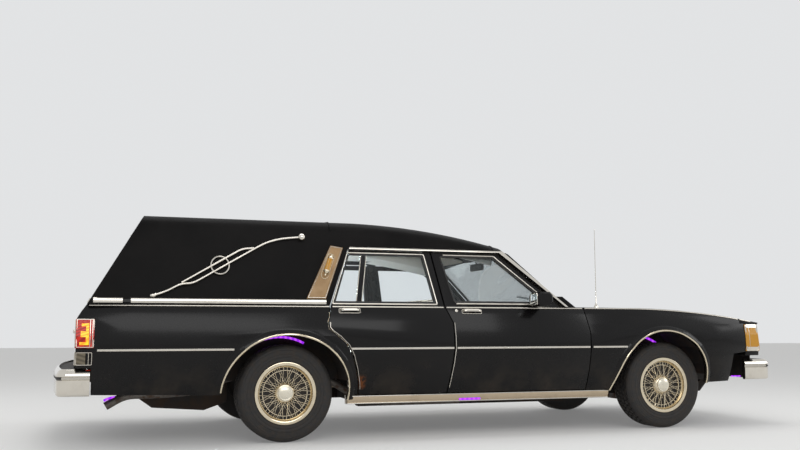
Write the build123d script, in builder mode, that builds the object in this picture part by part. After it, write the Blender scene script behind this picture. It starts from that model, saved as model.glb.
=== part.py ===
from build123d import *
from math import asin, atan2, cos, degrees, hypot, radians, sin, tan
import os

os.makedirs("parts", exist_ok=True)

# Full-size 1980s hearse, millimetres: +X forward, +Y to the car's left, +Z up
# The origin is on the ground, at mid length and mid width

# Overall
wheelbase = 2946
rear_overhang = 1500
front_overhang = 1054
half_width = 985
belt_z = 914
window_rise = 396
roof_rise = 235
length = rear_overhang + wheelbase + front_overhang
ra = rear_overhang - length / 2
fa = ra + wheelbase
tail = ra - rear_overhang
nose = fa + front_overhang

# Wheels
tyre_radius = 325
axle_z = tyre_radius
tyre_width = 215
tyre_shoulder = 15
rim_radius = 196
rim_lip = 12
rim_dish = 30
track_half = half_width - 202
kingpin_y = track_half - 70
hub_radius = 30
running_fit = 0.05
cap_radius = 48
dish_sides, cap_sides = 36, 16

# Body side section: height, and how far inside the widest line
sill_z, rocker_z = 240, 300
side_table = [
    # height, inset
    (sill_z, 130),
    (rocker_z, 110),
    (belt_z - 543, 73.5),
    (belt_z - 459, 40),
    (belt_z - 374, 15.5),
    (belt_z - 291, 0),
    (belt_z - 204, 5),
    (belt_z - 124, 20),
    (belt_z - 59, 38),
    (belt_z, 60),
]
sill_half = half_width - side_table[0][1]
belt_half = half_width - side_table[-1][1]
skin = 25
door_depth = 115

# Plan taper of the body side
taper_front = fa - 640
taper_rear = ra - 400
front_taper, front_taper_run = 65, 1530
rear_taper, rear_taper_run = 30, 950

# Shut lines
gap = 7
door_gap = 8.5
door_rear_gap = 10
frame_gap = 12
frame_rear_gap = 20
hinge_front_x = fa - 682
b_post_x = ra + 1128
c_post_x = ra + 288
door_bottom = rocker_z + 6
rear_face = ra - 1340

# Greenhouse
frame_top = belt_z + window_rise
frame_top_half = belt_half - 122
window_head = frame_top - 36
front_window_foot = belt_z + 38
rear_window_foot = belt_z + 30
frame_thick = 30
glass_thick = 5
drip_z = frame_top + 8
roof_crown = frame_top + roof_rise
roof_wall_z = roof_crown - 95
roof_foot_half = belt_half + 5
roof_wall_half = frame_top_half - 28
roof_wall = 35
roof_table = [
    # half width, height, from the top of the wall to the crown
    (roof_wall_half, roof_wall_z),
    (roof_wall_half - 9, roof_wall_z + 22),
    (roof_wall_half - 23, roof_wall_z + 40),
    (roof_wall_half - 45, roof_wall_z + 54),
    (roof_wall_half - 75, roof_wall_z + 63),
    (roof_wall_half - 215, roof_crown - 21),
    (roof_wall_half - 450, roof_crown - 6),
]
roof_break = fa - 2546
roof_radius = 5200
slope_foot_x = ra - 1283
slope_top_x = ra - 951
slope_top_z = roof_crown - 41

# Windshield, from header centre to base centre
header_x, header_z = fa - 1215, frame_top + 65
base_x, base_z = fa - 690, belt_z + 11
shield_sag = 100
shield_half = belt_half - 25
shield_lap = 12
pillar_width = 60
pillar_thick = 45

# Hood and fender tops
hood_half = belt_half - 75
hood_rear = fa - 600
hood_front = fa + 694
hood_break = fa - 346
hood_radius = 7000
hood_crown = 20
hood_thick = 22
flange_drop = 18
cowl_z = belt_z - hood_thick - gap

# Tail door
tail_half = half_width - 173
tail_bottom = belt_z - 384
tail_top = roof_crown - 105
tail_thick = 60
tail_bevel = 25
tail_lean = 157

# Floor and deck
floor_z = sill_z + 30
floor_thick = 20
floor_half = sill_half - 65
deck_z = tail_bottom + 26
deck_thick = 16
deck_front = ra + 1150
deck_half = track_half - 183
well_radius = tyre_radius + 115
well_wall = 6
well_sides = 18
front_well_half = track_half - 303
tunnel_half = 170
tunnel_height = 150
firewall_x = fa - 600

side_near, side_far = 300, half_width + 165


def polygon(points):
    """A flat face through a list of points."""
    with BuildSketch() as face:
        with BuildLine():
            Polyline(*points, close=True)
        make_face()
    return face.sketch


def side_prism(face, near=side_near, far=side_far):
    """A side view outline, x and z, drawn out through the right body side."""
    with BuildPart() as prism:
        with BuildSketch(Plane.XZ.offset(near)):
            add(face)
        extrude(amount=far - near)
    return prism.part


def cross_prism(face, rear, front):
    """A cross section, y and z, drawn out along the car."""
    with BuildPart() as prism:
        with BuildSketch(Plane.YZ.offset(rear)):
            add(face)
        extrude(amount=front - rear)
    return prism.part


def block(x0, x1, y0, y1, z0, z1):
    """A plain block between six faces."""
    with BuildPart() as box:
        with BuildSketch(Plane.XY.offset(z0)):
            with Locations(((x0 + x1) / 2, (y0 + y1) / 2)):
                Rectangle(x1 - x0, y1 - y0)
        extrude(amount=z1 - z0)
    return box.part


def side_strip(near, far):
    """Body side section between two depths from the outer skin."""
    outer = [(near + inset - half_width, z) for z, inset in side_table]
    inner = [(far + inset - half_width, z) for z, inset in side_table]
    return polygon(outer + inner[::-1])


def taper_arc(taper, run):
    """Radius and angle of a side that moves in by taper over a run."""
    radius = (run * run + taper * taper) / (2 * taper)
    return radius, degrees(asin(run / radius))


front_radius, front_angle = taper_arc(front_taper, front_taper_run)
rear_radius, rear_angle = taper_arc(rear_taper, rear_taper_run)


def body_side(near, far):
    """Right body side between two depths: straight doors, tapered ends."""
    with BuildPart() as side:
        with BuildSketch(Plane.YZ.offset(taper_rear)):
            add(side_strip(near, far))
        extrude(amount=taper_front - taper_rear)
        with BuildSketch(Plane.YZ.offset(taper_front)):
            add(side_strip(near, far))
        front_axis = Axis((taper_front, front_radius - half_width, 0), (0, 0, 1))
        revolve(axis=front_axis, revolution_arc=front_angle)
        with BuildSketch(Plane.YZ.offset(taper_rear)):
            add(side_strip(near, far))
        rear_axis = Axis((taper_rear, rear_radius - half_width, 0), (0, 0, -1))
        revolve(axis=rear_axis, revolution_arc=rear_angle)
    return side.part


side_skin = body_side(0, skin)

# Window plane of the doors: leans in from the belt to the frame top
window_lean = (belt_half - frame_top_half) / (frame_top - belt_z)


def window_slab(near, far, foot=belt_z - 20, top=frame_top + 60):
    """A flat layer between two depths behind the door window plane."""
    foot_half = belt_half + window_lean * (belt_z - foot)
    top_half = belt_half - window_lean * (top - belt_z)
    corners = [
        (near - foot_half, foot),
        (near - top_half, top),
        (far - top_half, top),
        (far - foot_half, foot),
    ]
    return cross_prism(polygon(corners), tail, nose)


def export(piece, label):
    """Names a finished piece and writes it."""
    piece.label = label
    export_step(piece, f"parts/{label}.step")


def export_sides(right, label):
    """Writes a right-hand piece and its mirror image as two nodes."""
    export(right, f"{label}_right")
    with BuildPart() as left:
        add(right)
        mirror(about=Plane.XZ, mode=Mode.REPLACE)
    export(left.part, f"{label}_left")


# Front door outline: rear edge on the B post, front edge at the hinge
b_edge = [
    (-65, frame_top),
    (0, belt_z),
    (52, belt_z - 114),
    (55, belt_z - 294),
    (37, rocker_z + 100),
    (30, door_bottom),
]
c_edge = [
    (149, frame_top),
    (0, belt_z),
    (-19, axle_z + 475),
    (-20, axle_z + 436),
    (51, axle_z + 383),
    (113, axle_z + 324),
    (149, axle_z + 255),
    (179, axle_z + 160),
    (203, axle_z + 65),
    (212, door_bottom),
]
hinge_bend_z = belt_z - 184
pillar_top = (fa - 1350, frame_top)
pillar_foot = (fa - 875, belt_z)


def edge(line, origin, shift):
    """A shut line's points, moved along the car by a gap."""
    return [(origin + x + shift, z) for x, z in line]


front_rear_edge = edge(b_edge, b_post_x, door_gap / 2)
rear_front_edge = edge(b_edge, b_post_x, -door_gap / 2)
rear_rear_edge = edge(c_edge, c_post_x, door_rear_gap)

front_panel = polygon(
    front_rear_edge[1:]
    + [(hinge_front_x, door_bottom), (hinge_front_x, hinge_bend_z), (hinge_front_x - 32, belt_z)]
)
rear_panel = polygon(rear_rear_edge[1:] + rear_front_edge[:0:-1])

# Upper frames: outline, then window corners
front_frame = [
    (b_post_x - 65 + frame_gap / 2, frame_top),
    (b_post_x + frame_gap / 2, belt_z),
    (b_post_x + 20, belt_z - 15),
    (pillar_foot[0], belt_z - 15),
    pillar_foot,
    pillar_top,
]
rear_frame = [
    (c_post_x + 149 + frame_rear_gap, frame_top),
    (c_post_x + frame_gap, belt_z),
    (c_post_x + frame_gap, belt_z - 15),
    (b_post_x - door_gap / 2, belt_z - 15),
    (b_post_x - frame_gap / 2, belt_z),
    (b_post_x - 65 - frame_gap / 2, frame_top),
]
front_window = [
    (b_post_x + 10, window_head),
    (b_post_x + 83, front_window_foot),
    (fa - 1016, front_window_foot),
    (fa - 1400, window_head),
]
rear_window = [
    (ra + 448, window_head),
    (ra + 330, rear_window_foot),
    (b_post_x - 74, rear_window_foot),
    (b_post_x - 134, window_head),
]
divider = [
    (ra + 540, window_head),
    (ra + 482, rear_window_foot),
    (ra + 514, rear_window_foot),
    (ra + 572, window_head),
]


def door(panel, frame, window, bar=None):
    """Outer skin, inner box and upper frame with its window rebate."""
    with BuildPart() as leaf:
        add(side_prism(panel))
        add(side_skin, mode=Mode.INTERSECT)
        with BuildPart(mode=Mode.PRIVATE) as inner:
            with BuildSketch(Plane.XZ.offset(side_near)):
                add(panel)
                offset(amount=-45, kind=Kind.INTERSECTION, mode=Mode.REPLACE)
            extrude(amount=side_far - side_near)
            add(body_side(skin, door_depth), mode=Mode.INTERSECT)
        add(inner.part)
        with BuildPart(mode=Mode.PRIVATE) as upper:
            add(side_prism(polygon(frame)))
            add(window_slab(0, frame_thick), mode=Mode.INTERSECT)
            add(side_prism(polygon(window)), mode=Mode.SUBTRACT)
            if bar:
                add(window_slab(0, frame_thick).intersect(side_prism(polygon(bar))))
        add(upper.part)
    return leaf.part


def pane(window, cut=None):
    """Window glass in the middle of the frame's thickness."""
    depth = (frame_thick - glass_thick) / 2
    with BuildPart() as glass:
        add(window_slab(depth, depth + glass_thick))
        add(side_prism(polygon(window)), mode=Mode.INTERSECT)
        if cut:
            add(side_prism(polygon(cut)), mode=Mode.SUBTRACT)
    return glass.part


# Doors and their glass
export_sides(door(front_panel, front_frame, front_window), "front_door")
export_sides(door(rear_panel, rear_frame, rear_window, divider), "rear_door")
export_sides(pane(front_window), "front_glass")
export_sides(pane(rear_window, divider), "rear_glass")

# Door mirrors: a chamfered head on a short foot
mirror_x, mirror_z = fa - 1106, belt_z + 54
mirror_deep, mirror_high, mirror_corner = 120, 105, 24
mirror_in, mirror_out = belt_half + 25, belt_half + 180
with BuildPart() as door_mirror:
    with BuildSketch(Plane.XZ.offset(mirror_in)):
        with Locations((mirror_x, mirror_z)):
            Rectangle(mirror_deep, mirror_high)
        chamfer(vertices(), mirror_corner)
    extrude(amount=mirror_out - mirror_in)
    chamfer(faces().sort_by(Axis.Y)[0].edges(), mirror_corner / 2)
    with BuildSketch(Plane.XZ.offset(belt_half - 12)):
        with Locations((mirror_x, mirror_z - 15)):
            Rectangle(60, 50)
    extrude(amount=mirror_in - belt_half + 12)
    window_face = window_slab(-300, 0, foot=belt_z - 100, top=frame_top + 60)
    add(window_face, mode=Mode.INTERSECT)
export_sides(door_mirror.part, "door_mirror")

# Quarter panels: skin behind the rear door, corner posts beside the tail door
arch_rear_x, arch_rear_z = tyre_radius + 107, tyre_radius + 65
quarter_bottom = sill_z + 100
bumper_cut_x, bumper_cut_z = ra - 1243, tail_bottom - 18
tail_corner = [
    (rear_face, bumper_cut_z),
    (rear_face, belt_z - 92),
    (ra - 1318, belt_z - 52),
    (slope_foot_x, belt_z),
]
quarter_rear_edge = [(bumper_cut_x, quarter_bottom), (bumper_cut_x, bumper_cut_z)] + tail_corner
quarter_front_edge = edge(c_edge, c_post_x, 0)[1:]
lamp_low, lamp_high = belt_z - 276, belt_z - 96
lower_lamp_low, lower_lamp_high = belt_z - 384, belt_z - 302
lamp_deep = 108
lamp_half_in = half_width - 150

with BuildPart() as quarter_panels:
    with BuildSketch(Plane.XZ.offset(side_near)):
        with BuildLine():
            Polyline(*(quarter_rear_edge + quarter_front_edge), close=True)
        make_face()
        with Locations((ra, axle_z)):
            Ellipse(arch_rear_x, arch_rear_z, mode=Mode.SUBTRACT)
    extrude(amount=side_far - side_near)
    add(side_skin, mode=Mode.INTERSECT)
    with BuildPart(mode=Mode.PRIVATE) as corner:
        add(side_prism(polygon(tail_corner + [
            (rear_face + tail_thick + 90, belt_z),
            (rear_face + tail_thick, belt_z - 114),
            (rear_face + tail_thick, bumper_cut_z),
        ])))
        add(body_side(skin, 400), mode=Mode.INTERSECT)
        add(block(tail, fa, -tail_half - gap, 0, 0, roof_crown), mode=Mode.SUBTRACT)
    add(corner.part)
    add(block(rear_face - 20, rear_face + lamp_deep, -side_far, -lamp_half_in, lamp_low,
              lamp_high), mode=Mode.SUBTRACT)
    add(block(rear_face - 20, rear_face + 60, -side_far, -lamp_half_in, lower_lamp_low,
              lower_lamp_high), mode=Mode.SUBTRACT)
    mirror(about=Plane.XZ)
export(quarter_panels.part, "quarter_panels")

# Lamps in the rear corners
rear_lamp_table = [
    # name, bottom, top, length along the car
    ("tail_lamps", lamp_low, lamp_high, lamp_deep),
    ("reverse_lamps", lower_lamp_low, lower_lamp_high, 60),
]
for name, low, high, deep in rear_lamp_table:
    with BuildPart() as rear_lamp:
        add(body_side(-4, 300))
        add(block(rear_face - 4, rear_face + deep, -side_far, -lamp_half_in, low, high),
            mode=Mode.INTERSECT)
        mirror(about=Plane.XZ)
    export(rear_lamp.part, name)

# Front fenders: skin with the round arch, top flange beside the hood, arch flare
arch_radius = tyre_radius + 87
arch_x = fa - 25
fender_rear_edge = [
    (hinge_front_x + gap, rocker_z),
    (hinge_front_x + gap, hinge_bend_z),
    (hinge_front_x - 32 + gap, belt_z),
]
nose_split_high, nose_split_low = fa + 700, fa + 740
nose_split_z = belt_z - 117
fender_front_edge = [
    (nose_split_high, belt_z),
    (nose_split_high, nose_split_z),
    (nose_split_low, nose_split_z),
    (nose_split_low, belt_z - 339),
    (fa + 620, belt_z - 354),
    (fa + 614, quarter_bottom + 5),
]


def hood_sweep(face, end_x):
    """A top section, y and z, level at first, then curving down to the nose."""
    turn = degrees(asin((end_x - hood_break) / hood_radius))
    with BuildPart() as sweep_part:
        with BuildSketch(Plane.YZ.offset(hood_rear)):
            add(face)
        extrude(amount=hood_break - hood_rear)
        with BuildSketch(Plane.YZ.offset(hood_break)):
            add(face)
        revolve(axis=Axis((hood_break, 0, belt_z - hood_radius), (0, 1, 0)), revolution_arc=turn)
    return sweep_part.part


with BuildPart() as below_hood:
    with BuildSketch(Plane.XZ.offset(-nose)):
        with BuildLine():
            start = (tail, belt_z)
            level = (hood_break, belt_z)
            turn = asin((nose - hood_break) / hood_radius)
            centre_z = belt_z - hood_radius
            middle = (hood_break + hood_radius * sin(turn / 2), centre_z + hood_radius * cos(turn / 2))
            finish = (nose, centre_z + hood_radius * cos(turn))
            Line(start, level)
            ThreePointArc(level, middle, finish)
            Polyline(finish, (nose, 0), (tail, 0), start)
        make_face()
    extrude(amount=2 * nose)

with BuildPart() as front_fenders:
    with BuildSketch(Plane.XZ.offset(side_near)):
        with BuildLine():
            Polyline(*(fender_rear_edge + fender_front_edge), close=True)
        make_face()
        with Locations((arch_x, axle_z)):
            Circle(arch_radius, mode=Mode.SUBTRACT)
        with BuildLine():
            Polyline(
                (arch_x - arch_radius * cos(radians(20)), axle_z + arch_radius * sin(radians(20))),
                (arch_x - arch_radius - 39, rocker_z - 10),
                (fa, rocker_z - 10),
                (fa, axle_z + arch_radius * sin(radians(20))),
                close=True,
            )
        make_face(mode=Mode.SUBTRACT)
    extrude(amount=side_far - side_near)
    add(side_skin, mode=Mode.INTERSECT)
    add(below_hood.part, mode=Mode.INTERSECT)
    with BuildPart(mode=Mode.PRIVATE) as flange:
        flange_face = polygon([
            (-half_width, belt_z),
            (-hood_half - gap, belt_z),
            (-hood_half - gap, belt_z - flange_drop),
            (-half_width, belt_z - flange_drop),
        ])
        add(hood_sweep(flange_face, nose_split_high))
        add(body_side(0, 300), mode=Mode.INTERSECT)
    add(flange.part)
    mirror(about=Plane.XZ)
export(front_fenders.part, "front_fenders")

# Hood: crowned panel between the fender flanges
hood_table = [(share * hood_half, hood_crown * (1 - share**2)) for share in (1, 0.75, 0.5, 0.25, 0)]
hood_table += [(-y, rise) for y, rise in hood_table[-2::-1]]
hood_top = [(y, belt_z + rise) for y, rise in hood_table]
hood_under = [(y, belt_z + rise - hood_thick) for y, rise in hood_table[::-1]]
with BuildPart() as hood:
    add(hood_sweep(polygon(hood_top + hood_under), hood_front - gap))
    add(block(hood_rear + gap, nose, -side_far, side_far, 0, roof_crown), mode=Mode.INTERSECT)
export(hood.part, "hood")

# Inner wheel wells: half drums with an inner wall, open below for the axle
well_table = [
    # axle x, inner wall half width, opening half length
    (fa, front_well_half, 300),
    (ra, deck_half, 250),
]
with BuildPart() as wheel_wells:
    for centre_x, inner_half, opening in well_table:
        with BuildPart(mode=Mode.PRIVATE) as well:
            with BuildSketch(Plane.XZ.offset(inner_half)):
                with Locations((centre_x, axle_z)):
                    RegularPolygon(well_radius + well_wall, well_sides, major_radius=False)
            extrude(amount=side_far - inner_half)
            with BuildSketch(Plane.XZ.offset(inner_half + well_wall)):
                with Locations((centre_x, axle_z)):
                    RegularPolygon(well_radius, well_sides, major_radius=False)
            extrude(amount=side_far, mode=Mode.SUBTRACT)
            add(block(centre_x - 600, centre_x + 600, -side_far, 0, 0, axle_z + 75),
                mode=Mode.SUBTRACT)
            add(block(centre_x - opening, centre_x + opening, -inner_half - 60, 0, 0,
                      axle_z + 195), mode=Mode.SUBTRACT)
            add(body_side(skin, 700), mode=Mode.INTERSECT)
        add(well.part)
    mirror(about=Plane.XZ)
export(wheel_wells.part, "wheel_wells")

# Rocker sills below the doors
rocker_rear, rocker_front = ra + arch_rear_x, arch_x - arch_radius - 39
with BuildPart() as rocker_sills:
    add(body_side(0, 400))
    add(block(rocker_rear, rocker_front, -side_far, -floor_half, sill_z, rocker_z),
        mode=Mode.INTERSECT)
    mirror(about=Plane.XZ)
export(rocker_sills.part, "rocker_sills")


def roof_face(depth, foot):
    """Roof section at a depth below the outer skin, with fewer corners inside."""
    left = [(roof_foot_half - depth, foot)]
    for half, z in roof_table if depth == 0 else roof_table[::3]:
        share = min(1, (z - roof_wall_z) / 63)
        left.append((half - depth * (1 - 0.6 * share), z - depth * (0.3 + 0.7 * share)))
    left.append((0, roof_crown - depth))
    return polygon(left + [(-y, z) for y, z in left[-2::-1]])


def roof_form(depth, foot):
    """Roof solid: straight over the load space, curving down to the header."""
    turn = degrees(asin((header_x + 60 - roof_break) / roof_radius))
    with BuildPart() as form:
        with BuildSketch(Plane.YZ.offset(slope_foot_x - 10)):
            add(roof_face(depth, foot))
        extrude(amount=roof_break - slope_foot_x + 10)
        with BuildSketch(Plane.YZ.offset(roof_break)):
            add(roof_face(depth, foot))
        revolve(
            axis=Axis((roof_break, 0, roof_crown - roof_radius), (0, 1, 0)),
            revolution_arc=turn,
        )
    return form.part


# Tail plane: upright below the belt, leaning forward above it
slope_run = (slope_top_x - slope_foot_x) / (slope_top_z - belt_z)


def slope_x(z):
    """The sloping tail's outer face at a height."""
    return slope_foot_x + slope_run * (z - belt_z)


def tail_band(near, far, low, high):
    """The tail's layer between two depths along the car, at full width."""
    outer = [(rear_face, low)] + tail_corner[1:] + [(slope_x(high), high)]
    face = polygon([(x + near, z) for x, z in outer] + [(x + far, z) for x, z in outer[::-1]])
    return side_prism(face, -side_far, side_far)


def tail_plug(grow):
    """The tail door's opening: tapered inwards so that the door swings clear."""
    bevel = tan(radians(tail_bevel))
    reach = 700
    top = tail_top + grow
    low = tail_bottom - grow
    belt_half_here = tail_half - bevel * (slope_foot_x - rear_face)
    rise = (top - belt_z) / (tail_top - belt_z)
    top_half = belt_half_here - tail_lean * rise
    sections = [
        # height, outer x, half width there
        (low, rear_face, tail_half + grow),
        (belt_z, rear_face, tail_half + grow),
        (belt_z, slope_foot_x, belt_half_here + grow),
        (top, slope_x(top), top_half + grow),
    ]
    faces = []
    for z, x, half in sections:
        back, front = x - 60, x + reach
        wide, narrow = half + 60 * bevel, half - reach * bevel
        with BuildSketch(Plane.XY.offset(z)) as level:
            with BuildLine():
                Polyline((back, -wide), (back, wide), (front, narrow), (front, -narrow), close=True)
            make_face()
        faces.append(level.sketch)
    with BuildPart() as plug:
        add(faces[0])
        add(faces[1])
        loft(ruled=True)
        add(faces[2])
        add(faces[3])
        loft(ruled=True)
    return plug.part


door_opening = tail_plug(gap)

above_roof = roof_crown + 155
behind_slope = side_prism(polygon([
    (slope_foot_x, belt_z),
    (slope_x(above_roof), above_roof),
    (tail - 300, above_roof),
    (tail - 300, belt_z - 200),
    (slope_foot_x, belt_z - 200),
]), -side_far, side_far)

# Windshield plane, its local y pointing out of the glass
shield_run = hypot(base_x - header_x, base_z - header_z)
shield_dir = ((base_x - header_x) / shield_run, 0, (base_z - header_z) / shield_run)
shield_plane = Plane(origin=(header_x, 0, header_z), x_dir=(0, 1, 0), z_dir=shield_dir)
shield_thick = 6


def shield_slab(outer, inner, start, end):
    """A curved layer parallel to the windshield."""
    with BuildPart() as slab:
        with BuildSketch(shield_plane.offset(start)):
            with BuildLine():
                left, right = shield_half, -shield_half
                ThreePointArc((right, outer - shield_sag), (0, outer), (left, outer - shield_sag))
                Line((left, outer - shield_sag), (left, inner - shield_sag))
                ThreePointArc((left, inner - shield_sag), (0, inner), (right, inner - shield_sag))
                Line((right, inner - shield_sag), (right, outer - shield_sag))
            make_face()
        extrude(amount=end - start)
    return slab.part


with BuildPart() as roof:
    add(roof_form(0, belt_z))
    add(roof_form(roof_wall, belt_z - 40), mode=Mode.SUBTRACT)
    with BuildPart(mode=Mode.PRIVATE) as tail_frame:
        add(tail_band(0, tail_thick, tail_bottom, roof_crown))
        add(block(tail, roof_break, -side_far, side_far, belt_z, above_roof), mode=Mode.INTERSECT)
        add(cross_prism(roof_face(0, belt_z), tail, roof_break), mode=Mode.INTERSECT)
    add(tail_frame.part)
    add(behind_slope, mode=Mode.SUBTRACT)
    add(door_opening, mode=Mode.SUBTRACT)
    cabin_opening = polygon([
        (c_post_x, 0),
        (c_post_x, belt_z),
        (c_post_x + 149 + (drip_z - frame_top) * 0.38, drip_z),
        (nose, drip_z),
        (nose, 0),
    ])
    add(side_prism(cabin_opening, -side_far, side_far), mode=Mode.SUBTRACT)
    # Cant rails inside the roof edge, over the doors
    with BuildPart(mode=Mode.PRIVATE) as cant_rail:
        add(block(c_post_x + 152, fa - 1330, -side_far, 0, drip_z, drip_z + 28))
        add(window_slab(20, 75), mode=Mode.INTERSECT)
        add(roof_form(0, belt_z), mode=Mode.INTERSECT)
        mirror(about=Plane.XZ)
    add(cant_rail.part)
    add(shield_slab(400, -shield_thick, -400, 900), mode=Mode.SUBTRACT)
    # A pillars in the window plane, from the header to the cowl
    pillar_dx = pillar_foot[0] - pillar_top[0]
    pillar_dz = pillar_top[1] - pillar_foot[1]
    pillar_turn = atan2(pillar_dz, pillar_dx)
    pillar_gap_x = gap / sin(pillar_turn)
    pillar_far_x = (gap + pillar_width) / sin(pillar_turn)
    pillar_reach = 1.12
    pillar_end_z = belt_z + pillar_dz * pillar_reach
    pillar_end_x = pillar_foot[0] - pillar_dx * pillar_reach
    pillar_face = polygon([
        (pillar_foot[0] + pillar_gap_x, belt_z),
        (pillar_foot[0] + pillar_far_x, belt_z),
        (pillar_end_x + pillar_far_x, pillar_end_z),
        (pillar_end_x + pillar_gap_x, pillar_end_z),
    ])
    for limit in (block(tail, nose, -side_far, 0, 0, drip_z), roof_form(0, belt_z)):
        with BuildPart(mode=Mode.PRIVATE) as pillars:
            add(side_prism(pillar_face))
            add(window_slab(0, pillar_thick), mode=Mode.INTERSECT)
            add(limit, mode=Mode.INTERSECT)
            add(shield_slab(400, -shield_thick, -400, 900), mode=Mode.SUBTRACT)
            mirror(about=Plane.XZ)
        add(pillars.part)
export(roof.part, "roof")

# Windshield glass between the pillars
with BuildPart() as windshield:
    add(shield_slab(0, -shield_thick, 5, shield_run + 150))
    shield_foot_z, shield_top_z = cowl_z, header_z + 20
    shield_foot = belt_half + window_lean * (belt_z - shield_foot_z) - shield_lap
    shield_top = belt_half - window_lean * (shield_top_z - belt_z) - shield_lap
    shield_limit = polygon([
        (-shield_foot, shield_foot_z),
        (-shield_top, shield_top_z),
        (shield_top, shield_top_z),
        (shield_foot, shield_foot_z),
    ])
    add(cross_prism(shield_limit, tail, nose), mode=Mode.INTERSECT)
export(windshield.part, "windshield")

# B posts between the doors: a strip behind the shut line, a pillar behind the frames
post_half = 14
with BuildPart() as b_posts:
    with BuildPart(mode=Mode.PRIVATE) as lower_post:
        rear_side = edge(b_edge[1:-1], b_post_x, -post_half)
        front_side = edge(b_edge[1:-1], b_post_x, post_half)
        rear_side.append((rear_side[-1][0] - 7, rocker_z))
        front_side.append((front_side[-1][0] - 7, rocker_z))
        add(side_prism(polygon(rear_side + front_side[::-1])))
        add(body_side(skin + 10, door_depth), mode=Mode.INTERSECT)
    add(lower_post.part)
    with BuildPart(mode=Mode.PRIVATE) as upper_post:
        add(side_prism(polygon([
            (b_post_x - 35, belt_z - 14),
            (b_post_x + 35, belt_z - 14),
            (b_post_x - 30, drip_z),
            (b_post_x - 100, drip_z),
        ])))
        add(window_slab(frame_thick + 10, 75), mode=Mode.INTERSECT)
    add(upper_post.part)
    mirror(about=Plane.XZ)
export(b_posts.part, "b_posts")

# Tail door with its window and number plate holes
glass_foot, glass_head = belt_z + 71, tail_top - 90
glass_foot_half, glass_head_half = tail_half - 292, tail_half - 372
tail_window = [
    (-glass_foot_half, glass_foot),
    (glass_foot_half, glass_foot),
    (glass_head_half, glass_head),
    (-glass_head_half, glass_head),
]
plate_z = tail_bottom + 230
plate_bolts_wide = 178
plate_bolt_radius = 3.5
with BuildPart() as tail_door:
    add(tail_band(0, tail_thick, tail_bottom, tail_top))
    add(tail_plug(0), mode=Mode.INTERSECT)
    with BuildSketch(Plane.YZ.offset(tail)):
        add(polygon(tail_window))
    extrude(amount=1200, mode=Mode.SUBTRACT)
    with BuildSketch(Plane.YZ.offset(rear_face)):
        with Locations((-plate_bolts_wide / 2, plate_z), (plate_bolts_wide / 2, plate_z)):
            Circle(plate_bolt_radius)
    extrude(amount=tail_thick / 2, mode=Mode.SUBTRACT)
export(tail_door.part, "tail_door")

with BuildPart() as tail_glass:
    add(tail_band(26, 32, tail_bottom, tail_top))
    with BuildSketch(Plane.YZ.offset(tail)):
        add(polygon(tail_window))
    extrude(amount=1200, mode=Mode.INTERSECT)
export(tail_glass.part, "tail_glass")

# Roof wall plane on the right side, for the landau panels, bars and lamps
wall_lean = atan2(roof_foot_half - roof_wall_half, roof_wall_z - belt_z)
wall_plane = Plane(
    origin=(0, -roof_foot_half, belt_z),
    x_dir=(1, 0, 0),
    z_dir=(0, -cos(wall_lean), sin(wall_lean)),
)


def on_wall(points):
    """Points by x from the rear axle and height above the belt, on the wall plane."""
    return [(ra + x, rise / cos(wall_lean)) for x, rise in points]


# Landau side panels ahead of the vinyl
landau_panel_points = [(128, 46), (262, 46), (405, 408), (316, 422)]
panel_thick = 6
with BuildPart() as landau_panels:
    with BuildSketch(wall_plane):
        add(polygon(on_wall(landau_panel_points)))
    extrude(amount=panel_thick)
    mirror(about=Plane.XZ)
export(landau_panels.part, "landau_panels")

# Belt moulding along the foot of the vinyl
with BuildPart() as landau_mouldings:
    with BuildSketch(wall_plane):
        add(polygon(on_wall([(-1246, 6), (263, 6), (275, 39), (-1246, 39)])))
    extrude(amount=panel_thick * 2)
    mirror(about=Plane.XZ)
export(landau_mouldings.part, "landau_mouldings")

# Landau bars: an S-shaped double bar with a ring, stood off on feet
bar_width = 16
bar_thick = 12
bar_gap = 14
bar_spine = [(-872, 70), (-711, 134), (-631, 137), (-220, 381), (-132, 437), (-50, 461), (109, 484)]
bar_upper = [(-711, 134), (-525, 261), (-304, 377), (-220, 381)]
ring_x, ring_rise, ring_radius, ring_thick = -453, 259, 66, 14
ball_radius = 24
ring_sides, ball_sides = 18, 8
with BuildPart() as landau_bars:
    for points in (bar_spine, bar_upper):
        with BuildSketch(wall_plane.offset(bar_gap)):
            with BuildLine():
                Polyline(*on_wall(points))
            trace(line_width=bar_width)
        extrude(amount=bar_thick)
    ring_centre = on_wall([(ring_x, ring_rise)])[0]
    with BuildSketch(wall_plane.offset(bar_gap)):
        with Locations(ring_centre):
            RegularPolygon(ring_radius, ring_sides)
            RegularPolygon(ring_radius - ring_thick, ring_sides, mode=Mode.SUBTRACT)
    extrude(amount=bar_thick / 2)
    with BuildSketch(wall_plane):
        with Locations(*on_wall([bar_spine[0], bar_spine[-1]])):
            RegularPolygon(ball_radius, ball_sides)
    extrude(amount=bar_gap + bar_thick)
    mirror(about=Plane.XZ)
export(landau_bars.part, "landau_bars")

# Coach lamps on the landau panels
lamp_foot, lamp_head = (267, 216), (318, 348)
with BuildPart() as coach_lamps:
    with BuildSketch(wall_plane.offset(panel_thick)):
        with BuildLine():
            Polyline(*on_wall([lamp_foot, lamp_head]))
        trace(line_width=64)
    extrude(amount=62, taper=8)
    mirror(about=Plane.XZ)
export(coach_lamps.part, "coach_lamps")

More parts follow.
